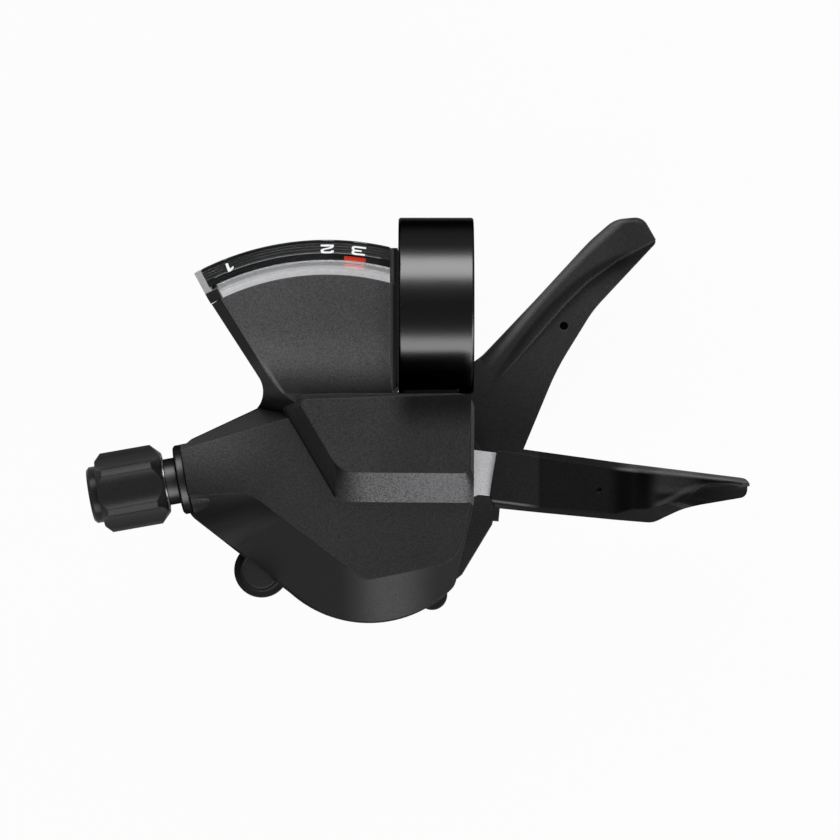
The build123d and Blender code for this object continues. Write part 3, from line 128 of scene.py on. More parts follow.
class Sock:
    """A shader value with arithmetic: each operator adds a Math node."""

    def __init__(self, graph: "Graph", socket: bpy.types.NodeSocket) -> None:
        """Keep the graph and the output socket."""
        self.graph = graph
        self.socket = socket

    def _math(self, operation: str, first: Value, second: Value) -> "Sock":
        """Add one Math node for two operands."""
        return self.graph.node("ShaderNodeMath", {"operation": operation}, {0: first, 1: second})

    def __add__(self, other: Value) -> "Sock":
        """Sum."""
        return self._math("ADD", self, other)

    def __radd__(self, other: Value) -> "Sock":
        """Sum with a plain number on the left."""
        return self._math("ADD", other, self)

    def __sub__(self, other: Value) -> "Sock":
        """Difference."""
        return self._math("SUBTRACT", self, other)

    def __rsub__(self, other: Value) -> "Sock":
        """Difference with a plain number on the left."""
        return self._math("SUBTRACT", other, self)

    def __neg__(self) -> "Sock":
        """Value with its sign turned."""
        return self._math("SUBTRACT", 0.0, self)

    def __mul__(self, other: Value) -> "Sock":
        """Product."""
        return self._math("MULTIPLY", self, other)

    def __rmul__(self, other: Value) -> "Sock":
        """Product with a plain number on the left."""
        return self._math("MULTIPLY", other, self)

    def __truediv__(self, other: Value) -> "Sock":
        """Quotient."""
        return self._math("DIVIDE", self, other)

    def __rtruediv__(self, other: Value) -> "Sock":
        """Quotient with a plain number on the left."""
        return self._math("DIVIDE", other, self)

    def __pow__(self, other: Value) -> "Sock":
        """Power."""
        return self._math("POWER", self, other)

    def __rpow__(self, other: Value) -> "Sock":
        """Power of a plain number on the left."""
        return self._math("POWER", other, self)

    def sine(self) -> "Sock":
        """Sine of the value in radians."""
        return self._math("SINE", self, 0.0)

    def swing(self, centre: float, width: float) -> "Sock":
        """Value from 0 to 1 that is made to swing about a centre by a width."""
        return self * width + (centre - width / 2)

    def towards(self, other: "Sock", share: "Sock") -> "Sock":
        """Value that moves to another by a share."""
        return self + (other - self) * share

    def fade(self, fade: Fade) -> "Sock":
        """Smooth change across a span of this value.

        Args:
            fade: the span, and the values before and after it.

        Returns:
            The faded value.
        """
        return self.graph.node("ShaderNodeMapRange", {"interpolation_type": "SMOOTHSTEP"}, {
            "Value": self, "From Min": fade.start, "From Max": fade.end,
            "To Min": fade.before, "To Max": fade.after})

    def peak(self, peak: Peak) -> "Sock":
        """Smooth rise and fall along this value."""
        rise = self.fade(Fade(peak.start, peak.full))
        return rise * self.fade(Fade(peak.ebb, peak.end, 1.0, 0.0))


class Graph:
    """A material's node tree, built from values and links."""

    EDGE: ClassVar[Fade] = Fade(0.01, 0.25)
    BEVEL_SAMPLES: ClassVar[int] = 6

    def __init__(self, tree: bpy.types.NodeTree) -> None:
        """Start from an empty tree."""
        self.tree = tree
        tree.nodes.clear()

    def node(self, kind: str, settings: dict | None = None, inputs: dict | None = None,
             output: int | str = 0) -> Sock:
        """Make any node.

        Args:
            kind: Blender's type name of the node.
            settings: attributes that are set first.
            inputs: socket names or numbers, with values or links.
            output: name or number of the output that is wanted.

        Returns:
            The chosen output as a value.
        """
        made = self.tree.nodes.new(kind)
        for key, value in (settings or {}).items():
            setattr(made, key, value)
        for key, value in (inputs or {}).items():
            if isinstance(value, Sock):
                self.tree.links.new(value.socket, made.inputs[key])
            else:
                made.inputs[key].default_value = value
        return Sock(self, made.outputs[output])

    def end(self, surface: Sock, kind: str = "ShaderNodeOutputMaterial") -> None:
        """Link a shader to the tree's output."""
        self.tree.links.new(surface.socket, self.tree.nodes.new(kind).inputs["Surface"])

    def principled(self, inputs: dict) -> Sock:
        """Principled shader with some of its sockets set."""
        return self.node("ShaderNodeBsdfPrincipled", {}, inputs)

    def blend(self, share: Sock, first: Sock, second: Sock) -> Sock:
        """Mix two shaders by the share of the second."""
        return self.node("ShaderNodeMixShader", {}, {0: share, 1: first, 2: second})

    def ray(self, ray: Ray) -> Sock:
        """1 for rays of a kind and 0 for the rest."""
        return self.node("ShaderNodeLightPath", output=ray.value)

    def place(self) -> Sock:
        """Position in the object's own frame."""
        return self.node("ShaderNodeTexCoord", output="Object")

    def facing(self) -> Sock:
        """Direction that the surface looks in."""
        return self.node("ShaderNodeNewGeometry", output="Normal")

    def axis(self, vector: Sock, axis: Axis) -> Sock:
        """One coordinate of a vector."""
        return self.node("ShaderNodeSeparateXYZ", {}, {0: vector}, output=axis.value)

    def radius(self, place: Sock, centre: Point) -> Sock:
        """Distance from an upright axis.

        Args:
            place: position.
            centre: x and y of the axis.

        Returns:
            The distance in metres.
        """
        across = self.axis(place, Axis.X) - centre[0]
        along = self.axis(place, Axis.Y) - centre[1]
        return (across * across + along * along) ** 0.5

    def noise(self, place: Sock, noise: Noise) -> Sock:
        """Noise from 0 to 1.

        Args:
            place: position.
            noise: kind of noise.

        Returns:
            The noise value.
        """
        return self.node("ShaderNodeTexNoise", {"noise_dimensions": "3D"}, {
            "Vector": place, "Scale": noise.scale, "Detail": noise.octaves,
            "Roughness": noise.finer})

    def mix(self, share: Value, first: Value, second: Value) -> Sock:
        """Mix two colours.

        Args:
            share: share of the second colour.
            first: first colour.
            second: second colour.

        Returns:
            The mixed colour.
        """
        return self.node("ShaderNodeMix", {"data_type": "RGBA"},
                         {0: share, 6: paint(first), 7: paint(second)}, output=2)

    def tones(self, share: Value, colour: Colour, tones: Span) -> Sock:
        """Mix two tones of one colour by the share of the second."""
        return self.mix(share, shade(colour, tones[0]), shade(colour, tones[1]))

    def soft_normal(self, edge: float) -> Sock:
        """Normal that rounds edges over a radius."""
        return self.node("ShaderNodeBevel", {"samples": self.BEVEL_SAMPLES}, {"Radius": edge})

    def edges(self, soft: Sock) -> Sock:
        """Mask that is 1 on edges and 0 on flats.

        Args:
            soft: normal with rounded edges.

        Returns:
            The mask.
        """
        dot = self.node("ShaderNodeVectorMath", {"operation": "DOT_PRODUCT"},
                        {0: soft, 1: self.facing()}, output="Value")
        return (1.0 - dot).fade(self.EDGE)

    def bump(self, height: Sock, depth: float, normal: Sock) -> Sock:
        """Normal tilted by a height.

        Args:
            height: height from 0 to 1.
            depth: depth in metres of a height of 1.
            normal: normal to start from.

        Returns:
            The tilted normal.
        """
        return self.node("ShaderNodeBump", {}, {
            "Strength": 1.0, "Distance": depth, "Height": height, "Normal": normal})


class Site:
    """A place on a moulding, in millimetres, and the way its face looks."""

    def __init__(self, graph: Graph) -> None:
        """Read the place in the object's own frame."""
        self.graph = graph
        self.place = graph.place()

    @cached_property
    def x(self) -> Sock:
        """Place along the handlebar, towards the grip."""
        return self.graph.axis(self.place, Axis.X) / MM

    @cached_property
    def y(self) -> Sock:
        """Place across the handlebar."""
        return self.graph.axis(self.place, Axis.Y) / MM

    @cached_property
    def z(self) -> Sock:
        """Height above the handlebar's axis."""
        return self.graph.axis(self.place, Axis.Z) / MM

    @cached_property
    def ahead(self) -> Sock:
        """Distance from the handlebar's axis towards the levers."""
        return -self.y

    @cached_property
    def across(self) -> Sock:
        """How far the face looks along the handlebar, from -1 to 1."""
        return self.graph.axis(self.graph.facing(), Axis.X)

    @cached_property
    def along(self) -> Sock:
        """How far the face looks across the handlebar, from -1 to 1."""
        return self.graph.axis(self.graph.facing(), Axis.Y)

    @cached_property
    def up(self) -> Sock:
        """How far the face looks up, from -1 to 1."""
        return self.graph.axis(self.graph.facing(), Axis.Z)


@dataclass(frozen=True)
class Line:
    """Line in plan, in millimetres, that runs mostly along one axis and may be bowed."""

    along: float
    offset: float
    slope: float
    bow: float = 0.0

    def beyond(self, along: Sock, across: Sock) -> Sock:
        """How far a place lies beyond the line.

        Args:
            along: coordinate that the line runs along.
            across: the other coordinate.

        Returns:
            The distance on the other coordinate.
        """
        step = along - self.along
        slope = self.slope + step * self.bow if self.bow else self.slope
        return across - self.offset - step * slope


def paint(colour: Value) -> Value:
    """Colour with its alpha, or a link as it is."""
    return colour if isinstance(colour, Sock) else (*colour, 1.0)


def shade(colour: Colour, share: float) -> Colour:
    """Colour made lighter or darker by a share."""
    return tuple(channel * share for channel in colour)


@dataclass(frozen=True)
class Finish:
    """A named finish that makes its material once."""

    name: str

    def surface(self, graph: Graph) -> Sock:
        """Shader of the finish, with its nodes in a graph."""
        raise NotImplementedError

    def material(self) -> bpy.types.Material:
        """Make the material, or give the one made before.

        Returns:
            The material.
        """
        made = bpy.data.materials.get(self.name)
        if made is None:
            made = bpy.data.materials.new(self.name)
            made.use_nodes = True
            graph = Graph(made.node_tree)
            graph.end(self.surface(graph))
        return made


@dataclass(frozen=True)
class MouldedPlastic(Finish):
    """Moulded plastic: spark-eroded grain, cloudy tone, edges lightened by wear and painted
    highlight, painted shade on steep faces.
    """

    colour: Colour = (0.03, 0.03, 0.032)
    roughness: float = 0.5
    grain: Noise = Noise(4200.0, 2.0, 0.6)
    grain_gloss: float = 0.14
    speckle: float = 0.9
    depth: float = 0.012 * MM
    cloud: Noise = Noise(140.0, 3.0)
    cloud_tone: float = 0.28
    edge: float = 0.35 * MM
    wear_and_highlight: float = 1.4
    wear_and_highlight_floor: float = 0.35
    wear_gloss: float = 0.12
    shine: float = 0.5
    # Faces steeper than the slope span take the steep share of the colour: painted shade on the
    # flanks.
    slope: Span = (0.35, 0.85)
    steep_light_and_shade: float = 1.0
    reach: float = 4.0

    def share(self, site: Site) -> Sock:
        """Share of the colour at a place, up to the finish's reach; 1 is the colour itself. Steep
        faces take the steep share as painted shade.
        """
        return site.up.fade(Fade(*self.slope, self.steep_light_and_shade, 1.0))

    def surface(self, graph: Graph) -> Sock:
        """Shader of the plastic.

        Args:
            graph: graph to add nodes to.

        Returns:
            The shader.
        """
        site = Site(graph)
        grain = graph.noise(site.place, self.grain)
        cloud = graph.noise(site.place, self.cloud)
        soft = graph.soft_normal(self.edge)
        # Edge mask that lightens the colour: partly wear, partly a painted highlight along the
        # edges.
        wear_and_highlight_mask = graph.edges(soft) * (self.wear_and_highlight_floor + cloud) * self.wear_and_highlight
        level = self.share(site) * cloud.swing(1.0, self.cloud_tone)
        level = level * grain.swing(1.0, self.speckle) * (1.0 + wear_and_highlight_mask)
        return graph.principled({
            "Base Color": graph.mix(level / self.reach, BLACK, shade(self.colour, self.reach)),
            "Roughness": grain.swing(self.roughness, self.grain_gloss) - wear_and_highlight_mask * self.wear_gloss,
            "Specular IOR Level": self.shine,
            "Normal": graph.bump(grain, self.depth, soft)})


@dataclass(frozen=True)
class CoverPlastic(MouldedPlastic):
    """Cover plastic with painted light and shade: a pale painted sheen on the speckled front bevel,
    painted shade on the flanks, and painted light and shade over the roof, block and plate.

    The first values are shares of the colour; the fades and peaks after them say where on the
    cover, or on faces that look which way, each share holds.
    """

    # Shares of the colour, each painting the light or shade that falls on one zone of the cover.
    roof: float = 2.0
    neck_highlight: float = 1.6
    block: float = 0.8
    corner_shade: float = 0.85
    plate: float = 0.66
    flank_shade: float = 0.16
    nose: float = 1.25
    side: float = 0.4
    neck: float = 0.8
    right: float = 0.9
    bevel: float = 3.1

    roof_back: Fade = Fade(2.5, 7.5, 0.76, 1.0)
    roof_foot: Fade = Fade(8.2, 13.4, 1.0, 0.2)
    roof_right: Fade = Fade(-27.0, -9.0, 1.0, 0.8)
    roof_ring: Fade = Fade(-10.5, -6.0, 0.0, 0.25)
    roof_ledge: Fade = Fade(-6.65, -6.4, 1.0, 0.05)
    roof_edge: Fade = Fade(-13.66, -13.64)
    # Line and width of the painted highlight along the roof's left edge at the neck.
    neck_highlight_line: Line = Line(-7.0, -27.8, -0.66)
    neck_highlight_width: Peak = Peak(-0.6, 0.0, 0.0, 0.6)
    neck_highlight_from: Fade = Fade(7.5, 11.0)

    block_right: Fade = Fade(-12.0, -2.0, 1.0, 0.75)
    block_level: Fade = Fade(14.9, 15.2)
    corner_from: Fade = Fade(-7.5, -3.5)
    corner_to: Fade = Fade(14.8, 20.5, 1.0, 0.0)

    plate_right: Fade = Fade(-16.0, 0.0, 1.0, 0.85)
    plate_left: Fade = Fade(-37.0, -22.0, 1.1, 0.0)
    plate_front: Fade = Fade(20.5, 30.0, 1.0, -0.45)

    faces_up: Fade = Fade(0.84, 0.97)
    faces_sloped: Fade = Fade(0.62, 0.74)
    faces_front: Fade = Fade(0.35, 0.6)
    faces_straight: Peak = Peak(-0.4, -0.02, 0.1, 0.4)
    faces_back: Fade = Fade(0.3, 0.7, 0.0, 0.5)
    faces_left: Fade = Fade(0.5, 0.7)
    faces_right: Fade = Fade(0.5, 0.8)

    nose_width: Peak = Peak(-15.5, -8.0, -6.5, 1.0)
    side_level: Fade = Fade(12.3, 12.8)
    side_from: Fade = Fade(13.5, 14.0)
    neck_width: Peak = Peak(-31.0, -27.0, -22.0, -19.0)
    neck_length: Peak = Peak(6.0, 11.0, 13.0, 15.0)
    right_level: Fade = Fade(14.5, 14.9)

    bevel_start: Fade = Fade(-14.6, -10.0, 0.35, 1.0)
    bevel_right: Fade = Fade(-14.0, 3.0, 0.8, 1.25)
    bevel_end: Fade = Fade(3.5, 5.8, 1.0, 0.4)
    bevel_noise: Noise = Noise(3600.0, 2.0, 0.6)
    bevel_speckle: Fade = Fade(0.3, 0.7, 0.55, 1.45)

    def roof_share(self, site: Site) -> Sock:
        """Share over the roof: painted light, painted shade at its foot, towards the clamp band and
        on the ledge beside it, and a painted highlight line at the neck.

        Args:
            site: place on the cover.

        Returns:
            The share.
        """
        # Painted light over the roof, falling to painted shade at its back and at its foot by the
        # block.
        roof = site.ahead.fade(self.roof_back) * site.ahead.fade(self.roof_foot)
        # Darker to the right and towards the clamp band: painted shade.
        roof = roof * (site.x.fade(self.roof_right) - site.x.fade(self.roof_ring)) * self.roof
        # Painted highlight line along the roof's left edge at the neck.
        neck_highlight = self.neck_highlight_line.beyond(site.y, site.x).peak(self.neck_highlight_width)
        neck_highlight = neck_highlight * site.ahead.fade(self.neck_highlight_from) * self.neck_highlight
        # Near-black strip along the ledge beside the clamp band: painted shade.
        return (roof + neck_highlight) * site.x.fade(self.roof_ledge)

    def block_share(self, site: Site) -> Sock:
        """Share over the raised block, darker to the right, with painted shade in the corner at the
        clamp band.
        """
        corner_shade = site.x.fade(self.corner_from) * site.ahead.fade(self.corner_to)
        return site.x.fade(self.block_right) * (1.0 - corner_shade * self.corner_shade) * self.block

    def plate_share(self, site: Site) -> Sock:
        """Share over the flat plate: painted light, paler towards its left end and darker to the
        right and front.
        """
        left = site.x.fade(self.plate_left) * site.ahead.fade(self.plate_front)
        return site.x.fade(self.plate_right) * (1.0 + left) * self.plate

    def flank_share(self, site: Site) -> Sock:
        """Share over the steep faces: painted shade, with painted light on the nose, the block's
        side, the neck and the right end.

        Args:
            site: place on the cover.

        Returns:
            The share.
        """
        nose = (-site.along).fade(self.faces_front) * site.x.peak(self.nose_width)
        side = (-site.across).fade(self.faces_left) * site.z.fade(self.side_level)
        side = side * site.ahead.fade(self.side_from)
        neck = site.x.peak(self.neck_width) * site.ahead.peak(self.neck_length)
        neck = neck + site.along.fade(self.faces_back)
        right = site.across.fade(self.faces_right) * site.z.fade(self.right_level)
        steep_light_and_shade = self.flank_shade + nose * (self.nose - self.flank_shade) + side * self.side
        return steep_light_and_shade + neck * self.neck + right * (self.right - self.flank_shade)

    def bevel_share(self, site: Site) -> Sock:
        """Share over the speckled front bevel, made pale as a painted sheen.

        Args:
            site: place on the cover.

        Returns:
            The share.
        """
        speckle = site.graph.noise(site.place, self.bevel_noise).fade(self.bevel_speckle)
        length = site.x.fade(self.bevel_start) * site.x.fade(self.bevel_right)
        return length * site.x.fade(self.bevel_end) * speckle * self.bevel

    def share(self, site: Site) -> Sock:
        """Share of the colour over the roof, block, plate, bevel and flanks: painted light and
        shade.

        Args:
            site: place on the cover.

        Returns:
            The share.
        """
        flat = self.plate_share(site).towards(self.block_share(site), site.z.fade(self.block_level))
        flat = flat.towards(self.roof_share(site), site.y.fade(self.roof_edge))
        ahead = (-site.along).fade(self.faces_front) * site.across.peak(self.faces_straight)
        sloped = site.up.fade(self.faces_sloped) * ahead
        steep_light_and_shade = self.flank_share(site).towards(self.bevel_share(site), sloped)
        return steep_light_and_shade.towards(flat, site.up.fade(self.faces_up))


@dataclass(frozen=True)
class LeverPlastic(MouldedPlastic):
    """Lever plastic with a painted highlight along the crest and painted shade in the hollow beside
    it.
    """

    crest_highlight: float = 2.8
    crest_line: Line = Line(20.0, 4.9, 1.07, -0.013)
    crest_width: Peak = Peak(-1.2, 0.2, 0.3, 1.7)
    hollow_shade: float = 0.7
    hollow_line: Line = Line(20.0, 2.0, 0.93, -0.03)
    hollow_width: Peak = Peak(-2.6, -0.2, 0.0, 1.1)
    highlight_span: Peak = Peak(7.0, 14.0, 28.0, 33.0)
    tip: Fade = Fade(26.0, 31.0, 1.0, 0.8)

    def share(self, site: Site) -> Sock:
        """Share of the colour: a painted highlight on the crest and painted shade in the hollow of
        the thumb lever.

        Args:
            site: place on the lever.

        Returns:
            The share.
        """
        crest_highlight = self.crest_line.beyond(site.x, site.y).peak(self.crest_width) * self.crest_highlight
        hollow_shade = self.hollow_line.beyond(site.x, site.y).peak(self.hollow_width) * self.hollow_shade
        return site.x.fade(self.tip) + site.x.peak(self.highlight_span) * (crest_highlight - hollow_shade)


@dataclass(frozen=True)
class FingerPlastic(MouldedPlastic):
    """Release lever plastic with painted highlights along the rims of its pad.

    The rim, fold, back, pad, ridge and root are shares of painted light that are added, the hollow
    and the front faces get painted shade, and the fades, peaks and lines say where.
    """

    rim: float = 10.0
    rim_line: Line = Line(28.75, -25.35, -0.102)
    rim_width: Peak = Peak(-0.45, 0.0, 0.0, 0.4)
    rim_length: Peak = Peak(27.0, 30.0, 44.0, 48.0)
    fold_highlight: float = 4.0
    fold_ahead: Fade = Fade(34.0, 41.5, 31.0, 28.0)
    fold_width: Peak = Peak(-0.9, 0.0, 0.0, 0.7)
    fold_from: Fade = Fade(33.6, 35.5)
    back_light: float = 5.0
    back_faces: Fade = Fade(0.3, 0.8)
    back_from: Fade = Fade(28.0, 31.0)
    root: Fade = Fade(15.8, 16.4, 1.1, 0.0)
    pad_light: float = 4.0
    pad_length: Peak = Peak(33.5, 36.0, 39.0, 42.5)
    pad_from: Fade = Fade(-29.6, -28.6)
    hollow_shade: float = 0.75
    hollow_length: Peak = Peak(26.5, 29.0, 32.5, 34.5)
    hollow_faces: Fade = Fade(0.1, 0.3, 1.0, 0.0)
    ridge_highlight: float = 16.0
    ridge_line: Line = Line(9.2, -30.4, -0.127)
    ridge_width: Peak = Peak(-0.3, 0.0, 0.0, 0.3)
    ridge_to: Fade = Fade(13.0, 16.5, 1.0, 0.0)
    front_faces: Fade = Fade(0.15, 0.6, 0.0, 0.85)

    def share(self, site: Site) -> Sock:
        """Share of the colour: painted highlight on the pad's rims, painted shade in its hollow.

        Args:
            site: place on the lever.

        Returns:
            The share.
        """
        rim = self.rim_line.beyond(site.x, site.y).peak(self.rim_width)
        rim = rim * site.x.peak(self.rim_length) * self.rim
        fold_highlight = (site.y + site.x.fade(self.fold_ahead)).peak(self.fold_width)
        fold_highlight = fold_highlight * site.x.fade(self.fold_from) * self.fold_highlight
        back_light = site.along.fade(self.back_faces) * site.x.fade(self.back_from) * self.back_light
        pad_light = site.x.peak(self.pad_length) * site.y.fade(self.pad_from) * self.pad_light
        hollow_shade = site.x.peak(self.hollow_length) * site.along.fade(self.hollow_faces)
        ridge_highlight = self.ridge_line.beyond(site.x, site.y).peak(self.ridge_width)
        ridge_highlight = ridge_highlight * site.x.fade(self.ridge_to)
        lit = 1.0 - hollow_shade * self.hollow_shade + site.x.fade(self.root)
        lit = lit + rim + fold_highlight + back_light + pad_light + ridge_highlight * self.ridge_highlight
        return lit * (1.0 - (-site.along).fade(self.front_faces) * (1.0 - ridge_highlight))


@dataclass(frozen=True)
class SatinCoat(Finish):
    """Satin black coating over metal, darker on the flanks as painted shade, with faint rolling
    marks.
    """

    colour: Colour = (0.088, 0.088, 0.0892)
    roughness: float = 0.27
    edge: float = 0.25 * MM
    rim: Colour = (0.3, 0.3, 0.3)
    grain: Noise = Noise(3800.0)
    depth: float = 0.003 * MM
    marks: Noise = Noise(420.0, 3.0)
    marks_stretch: tuple[float, float, float] = (0.2, 1.0, 1.0)
    marks_tones: Span = (0.94, 1.06)
    marks_gloss: float = 0.03
    crown: Fade = Fade(0.66, 0.84)
    flank_shade: float = 0.3

    def surface(self, graph: Graph) -> Sock:
        """Shader of the coating.

        Args:
            graph: graph to add nodes to.

        Returns:
            The shader.
        """
        place = graph.place()
        drawn = graph.node("ShaderNodeVectorMath", {"operation": "MULTIPLY"},
                           {0: place, 1: self.marks_stretch})
        marks = graph.noise(drawn, self.marks)
        soft = graph.soft_normal(self.edge)
        # Faces that look sideways take the flank share of the colour: painted shade.
        crown = graph.axis(soft, Axis.Z).fade(self.crown)
        tone = graph.tones(marks, self.colour, self.marks_tones)
        return graph.principled({
            "Base Color": graph.mix(crown, shade(self.colour, self.flank_shade), tone), "Metallic": 1.0,
            "Roughness": marks.swing(self.roughness, self.marks_gloss),
            "Specular Tint": paint(self.rim),
            "Normal": graph.bump(graph.noise(place, self.grain), self.depth, soft)})


@dataclass(frozen=True)
class PlatedSheet(Finish):
    """Zinc plated pressed steel: bright, with a fine blasted grain and cloudy passivation."""

    colour: Colour = (0.97, 0.97, 1.0)
    roughness: float = 0.62
    metallic: float = 0.6
    edge: float = 0.15 * MM
    grain: Noise = Noise(3600.0, 3.0, 0.65)
    grain_tone: float = 0.75
    grain_edge: Fade = Fade(0.3, 0.7)
    depth: float = 0.02 * MM
    cloud: Noise = Noise(260.0, 3.0)
    cloud_tones: Span = (0.88, 1.0)
    cloud_gloss: float = 0.16

    def surface(self, graph: Graph) -> Sock:
        """Shader of the plating.

        Args:
            graph: graph to add nodes to.

        Returns:
            The shader.
        """
        place = graph.place()
        grain = graph.noise(place, self.grain)
        cloud = graph.noise(place, self.cloud)
        tone = graph.tones(cloud, self.colour, self.cloud_tones)
        tone = graph.mix(grain.fade(self.grain_edge), shade(self.colour, self.grain_tone), tone)
        return graph.principled({
            "Base Color": tone, "Metallic": self.metallic,
            "Roughness": cloud.swing(self.roughness, self.cloud_gloss),
            "Normal": graph.bump(grain, self.depth, graph.soft_normal(self.edge))})


@dataclass(frozen=True)
class Mottled(Finish):
    """One material whose tone, gloss and relief are mottled together."""

    colour: Colour = (0.55, 0.55, 0.56)
    roughness: float = 0.3
    metallic: float = 1.0
    shine: float = 0.5
    mottle: Noise = Noise(500.0, 3.0)
    tones: Span = (0.8, 1.1)
    gloss: float = 0.2
    depth: float = 0.004 * MM
    edge: float = 0.15 * MM

    def tone(self, graph: Graph, mottle: Sock, soft: Sock) -> Sock:
        """Colour from the mottle and the normal with rounded edges."""
        return graph.tones(mottle, self.colour, self.tones)

    def relief(self, graph: Graph, place: Sock, mottle: Sock) -> Sock:
        """Height of the relief, from 0 to 1."""
        return mottle

    def surface(self, graph: Graph) -> Sock:
        """Shader of the material.

        Args:
            graph: graph to add nodes to.

        Returns:
            The shader.
        """
        place = graph.place()
        mottle = graph.noise(place, self.mottle)
        soft = graph.soft_normal(self.edge)
        return graph.principled({
            "Base Color": self.tone(graph, mottle, soft), "Metallic": self.metallic,
            "Roughness": mottle.swing(self.roughness, self.gloss),
            "Specular IOR Level": self.shine,
            "Normal": graph.bump(self.relief(graph, place, mottle), self.depth, soft)})


@dataclass(frozen=True)
class TurnedSteel(Mottled):
    """Turned metal with fine rings about an upright axis."""

    pitch: float = 0.12 * MM
    centre: Point = AXLE_CENTRE

    def relief(self, graph: Graph, place: Sock, mottle: Sock) -> Sock:
        """Height of the turning rings, from 0 to 1."""
        return (graph.radius(place, self.centre) * (2 * pi / self.pitch)).sine() * 0.5 + 0.5


@dataclass(frozen=True)
class BlackSteel(Mottled):
    """Blackened steel with a dry, slightly mottled oxide that is worn off the edges."""

    colour: Colour = (0.022, 0.022, 0.023)
    roughness: float = 0.42
    metallic: float = 0.6
    mottle: Noise = Noise(900.0, 4.0, 0.6)
    tones: Span = (0.6, 1.5)
    gloss: float = 0.25
    depth: float = 0.006 * MM
    edge: float = 0.2 * MM
    bare: Colour = (0.2, 0.2, 0.2)

    def tone(self, graph: Graph, mottle: Sock, soft: Sock) -> Sock:
        """Colour of the oxide, with bare metal on the edges."""
        oxide = graph.tones(mottle, self.colour, self.tones)
        return graph.mix(graph.edges(soft) * mottle, oxide, self.bare)


@dataclass(frozen=True)
class DrawnWire(Mottled):
    """Drawn spring wire with a slight straw tint and drawing marks."""

    colour: Colour = (0.42, 0.41, 0.39)
    roughness: float = 0.28
    mottle: Noise = Noise(2600.0, 3.0)
    tones: Span = (0.7, 1.15)
    edge: float = 0.05 * MM


@dataclass(frozen=True)
class SignalPaint(Mottled):
    """Even print or moulded signal colour with a little speckle."""

    colour: Colour = (0.6, 0.025, 0.009)
    roughness: float = 0.4
    metallic: float = 0.0
    shine: float = 0.25
    mottle: Noise = Noise(2500.0)
    tones: Span = (0.85, 1.12)
    gloss: float = 0.1
    edge: float = 0.1 * MM


@dataclass(frozen=True)
class ClearLens(Finish):
    """Clear moulding whose bevel and end facet get a pale skin: partly frost, partly a painted
    reflection of the light they catch.
    """

    clear: Colour = (0.97, 0.98, 0.98)
    clear_gloss: Span = (0.03, 0.08)
    index: float = 1.49
    frost_and_glare: Colour = (0.9, 0.9, 0.92)
    frost_tones: Span = (0.8, 1.08)
    frost_gloss: Span = (0.35, 0.55)
    frost_faces: Fade = Fade(0.75, 0.97, 1.0, 0.0)
    frost_radius: Fade = Fade(39.1 * MM, 39.3 * MM, 1.0, 0.0)
    frost_share: Fade = Fade(38.15 * MM, 38.4 * MM, 0.91, 0.45)
    cap: Colour = (0.006, 0.006, 0.006)
    cap_radius: Fade = Fade(38.9 * MM, 39.1 * MM, 1.0, 0.0)
    band_end: Span = (114.8, 115.4)
    facet_from: Span = (116.2, 117.0)
    streaks: Noise = Noise(1500.0)
    smear: Noise = Noise(180.0, 3.0)
    shadow: Colour = (0.94, 0.95, 0.95)

    def past(self, graph: Graph, place: Sock, span: Span) -> Sock:
        """Mask of the places that lie past an angle about the display's centre.

        Args:
            graph: graph to add nodes to.
            place: position.
            span: degrees at which the mask starts and is full.

        Returns:
            The mask, from 0 to 1.
        """
        across = graph.axis(place, Axis.X) - ARC_CENTRE[0]
        along = graph.axis(place, Axis.Y) - ARC_CENTRE[1]
        start, end = (tan(radians(angle - 90.0)) for angle in span)
        return (-(across / along)).fade(Fade(start, end))

    def frosting(self, graph: Graph, place: Sock) -> tuple[Sock, Sock]:
        """Share of the pale skin on the bevel and the end facet, partly frost and partly painted
        reflection, and of the black cap.

        Args:
            graph: graph to add nodes to.
            place: position.

        Returns:
            The share of the skin with the cap, and the share of the cap alone.
        """
        radius = graph.radius(place, ARC_CENTRE)
        tilt = graph.axis(graph.facing(), Axis.Z).fade(self.frost_faces)
        beyond = self.past(graph, place, self.band_end)
        inside = radius.fade(self.cap_radius)
        bevel = (1.0 - beyond) * radius.fade(self.frost_radius) * radius.fade(self.frost_share)
        facet = self.past(graph, place, self.facet_from) * (1.0 - inside)
        cap = beyond * inside
        return tilt * (bevel + facet) * (1.0 - cap) + cap, cap

    def surface(self, graph: Graph) -> Sock:
        """Shader of the lens.

        Args:
            graph: graph to add nodes to.

        Returns:
            The shader.
        """
        place = graph.place()
        smear = graph.noise(place, self.smear)
        smooth, dull = (low + smear * (high - low)
                        for low, high in (self.clear_gloss, self.frost_gloss))
        clear = graph.principled({"Base Color": paint(self.clear), "Roughness": smooth,
                                  "IOR": self.index, "Transmission Weight": 1.0})
        skin, cap = self.frosting(graph, place)
        # Pale colour of the skin: frost and painted reflection.
        pale = graph.tones(graph.noise(place, self.streaks), self.frost_and_glare, self.frost_tones)
        frosted = graph.principled({"Base Color": graph.mix(cap, pale, self.cap),
                                    "Roughness": dull})
        body = graph.blend(skin, clear, frosted)
        thin = graph.node("ShaderNodeBsdfTransparent", {}, {"Color": paint(self.shadow)})
        return graph.blend(graph.ray(Ray.SHADOW), body, thin)


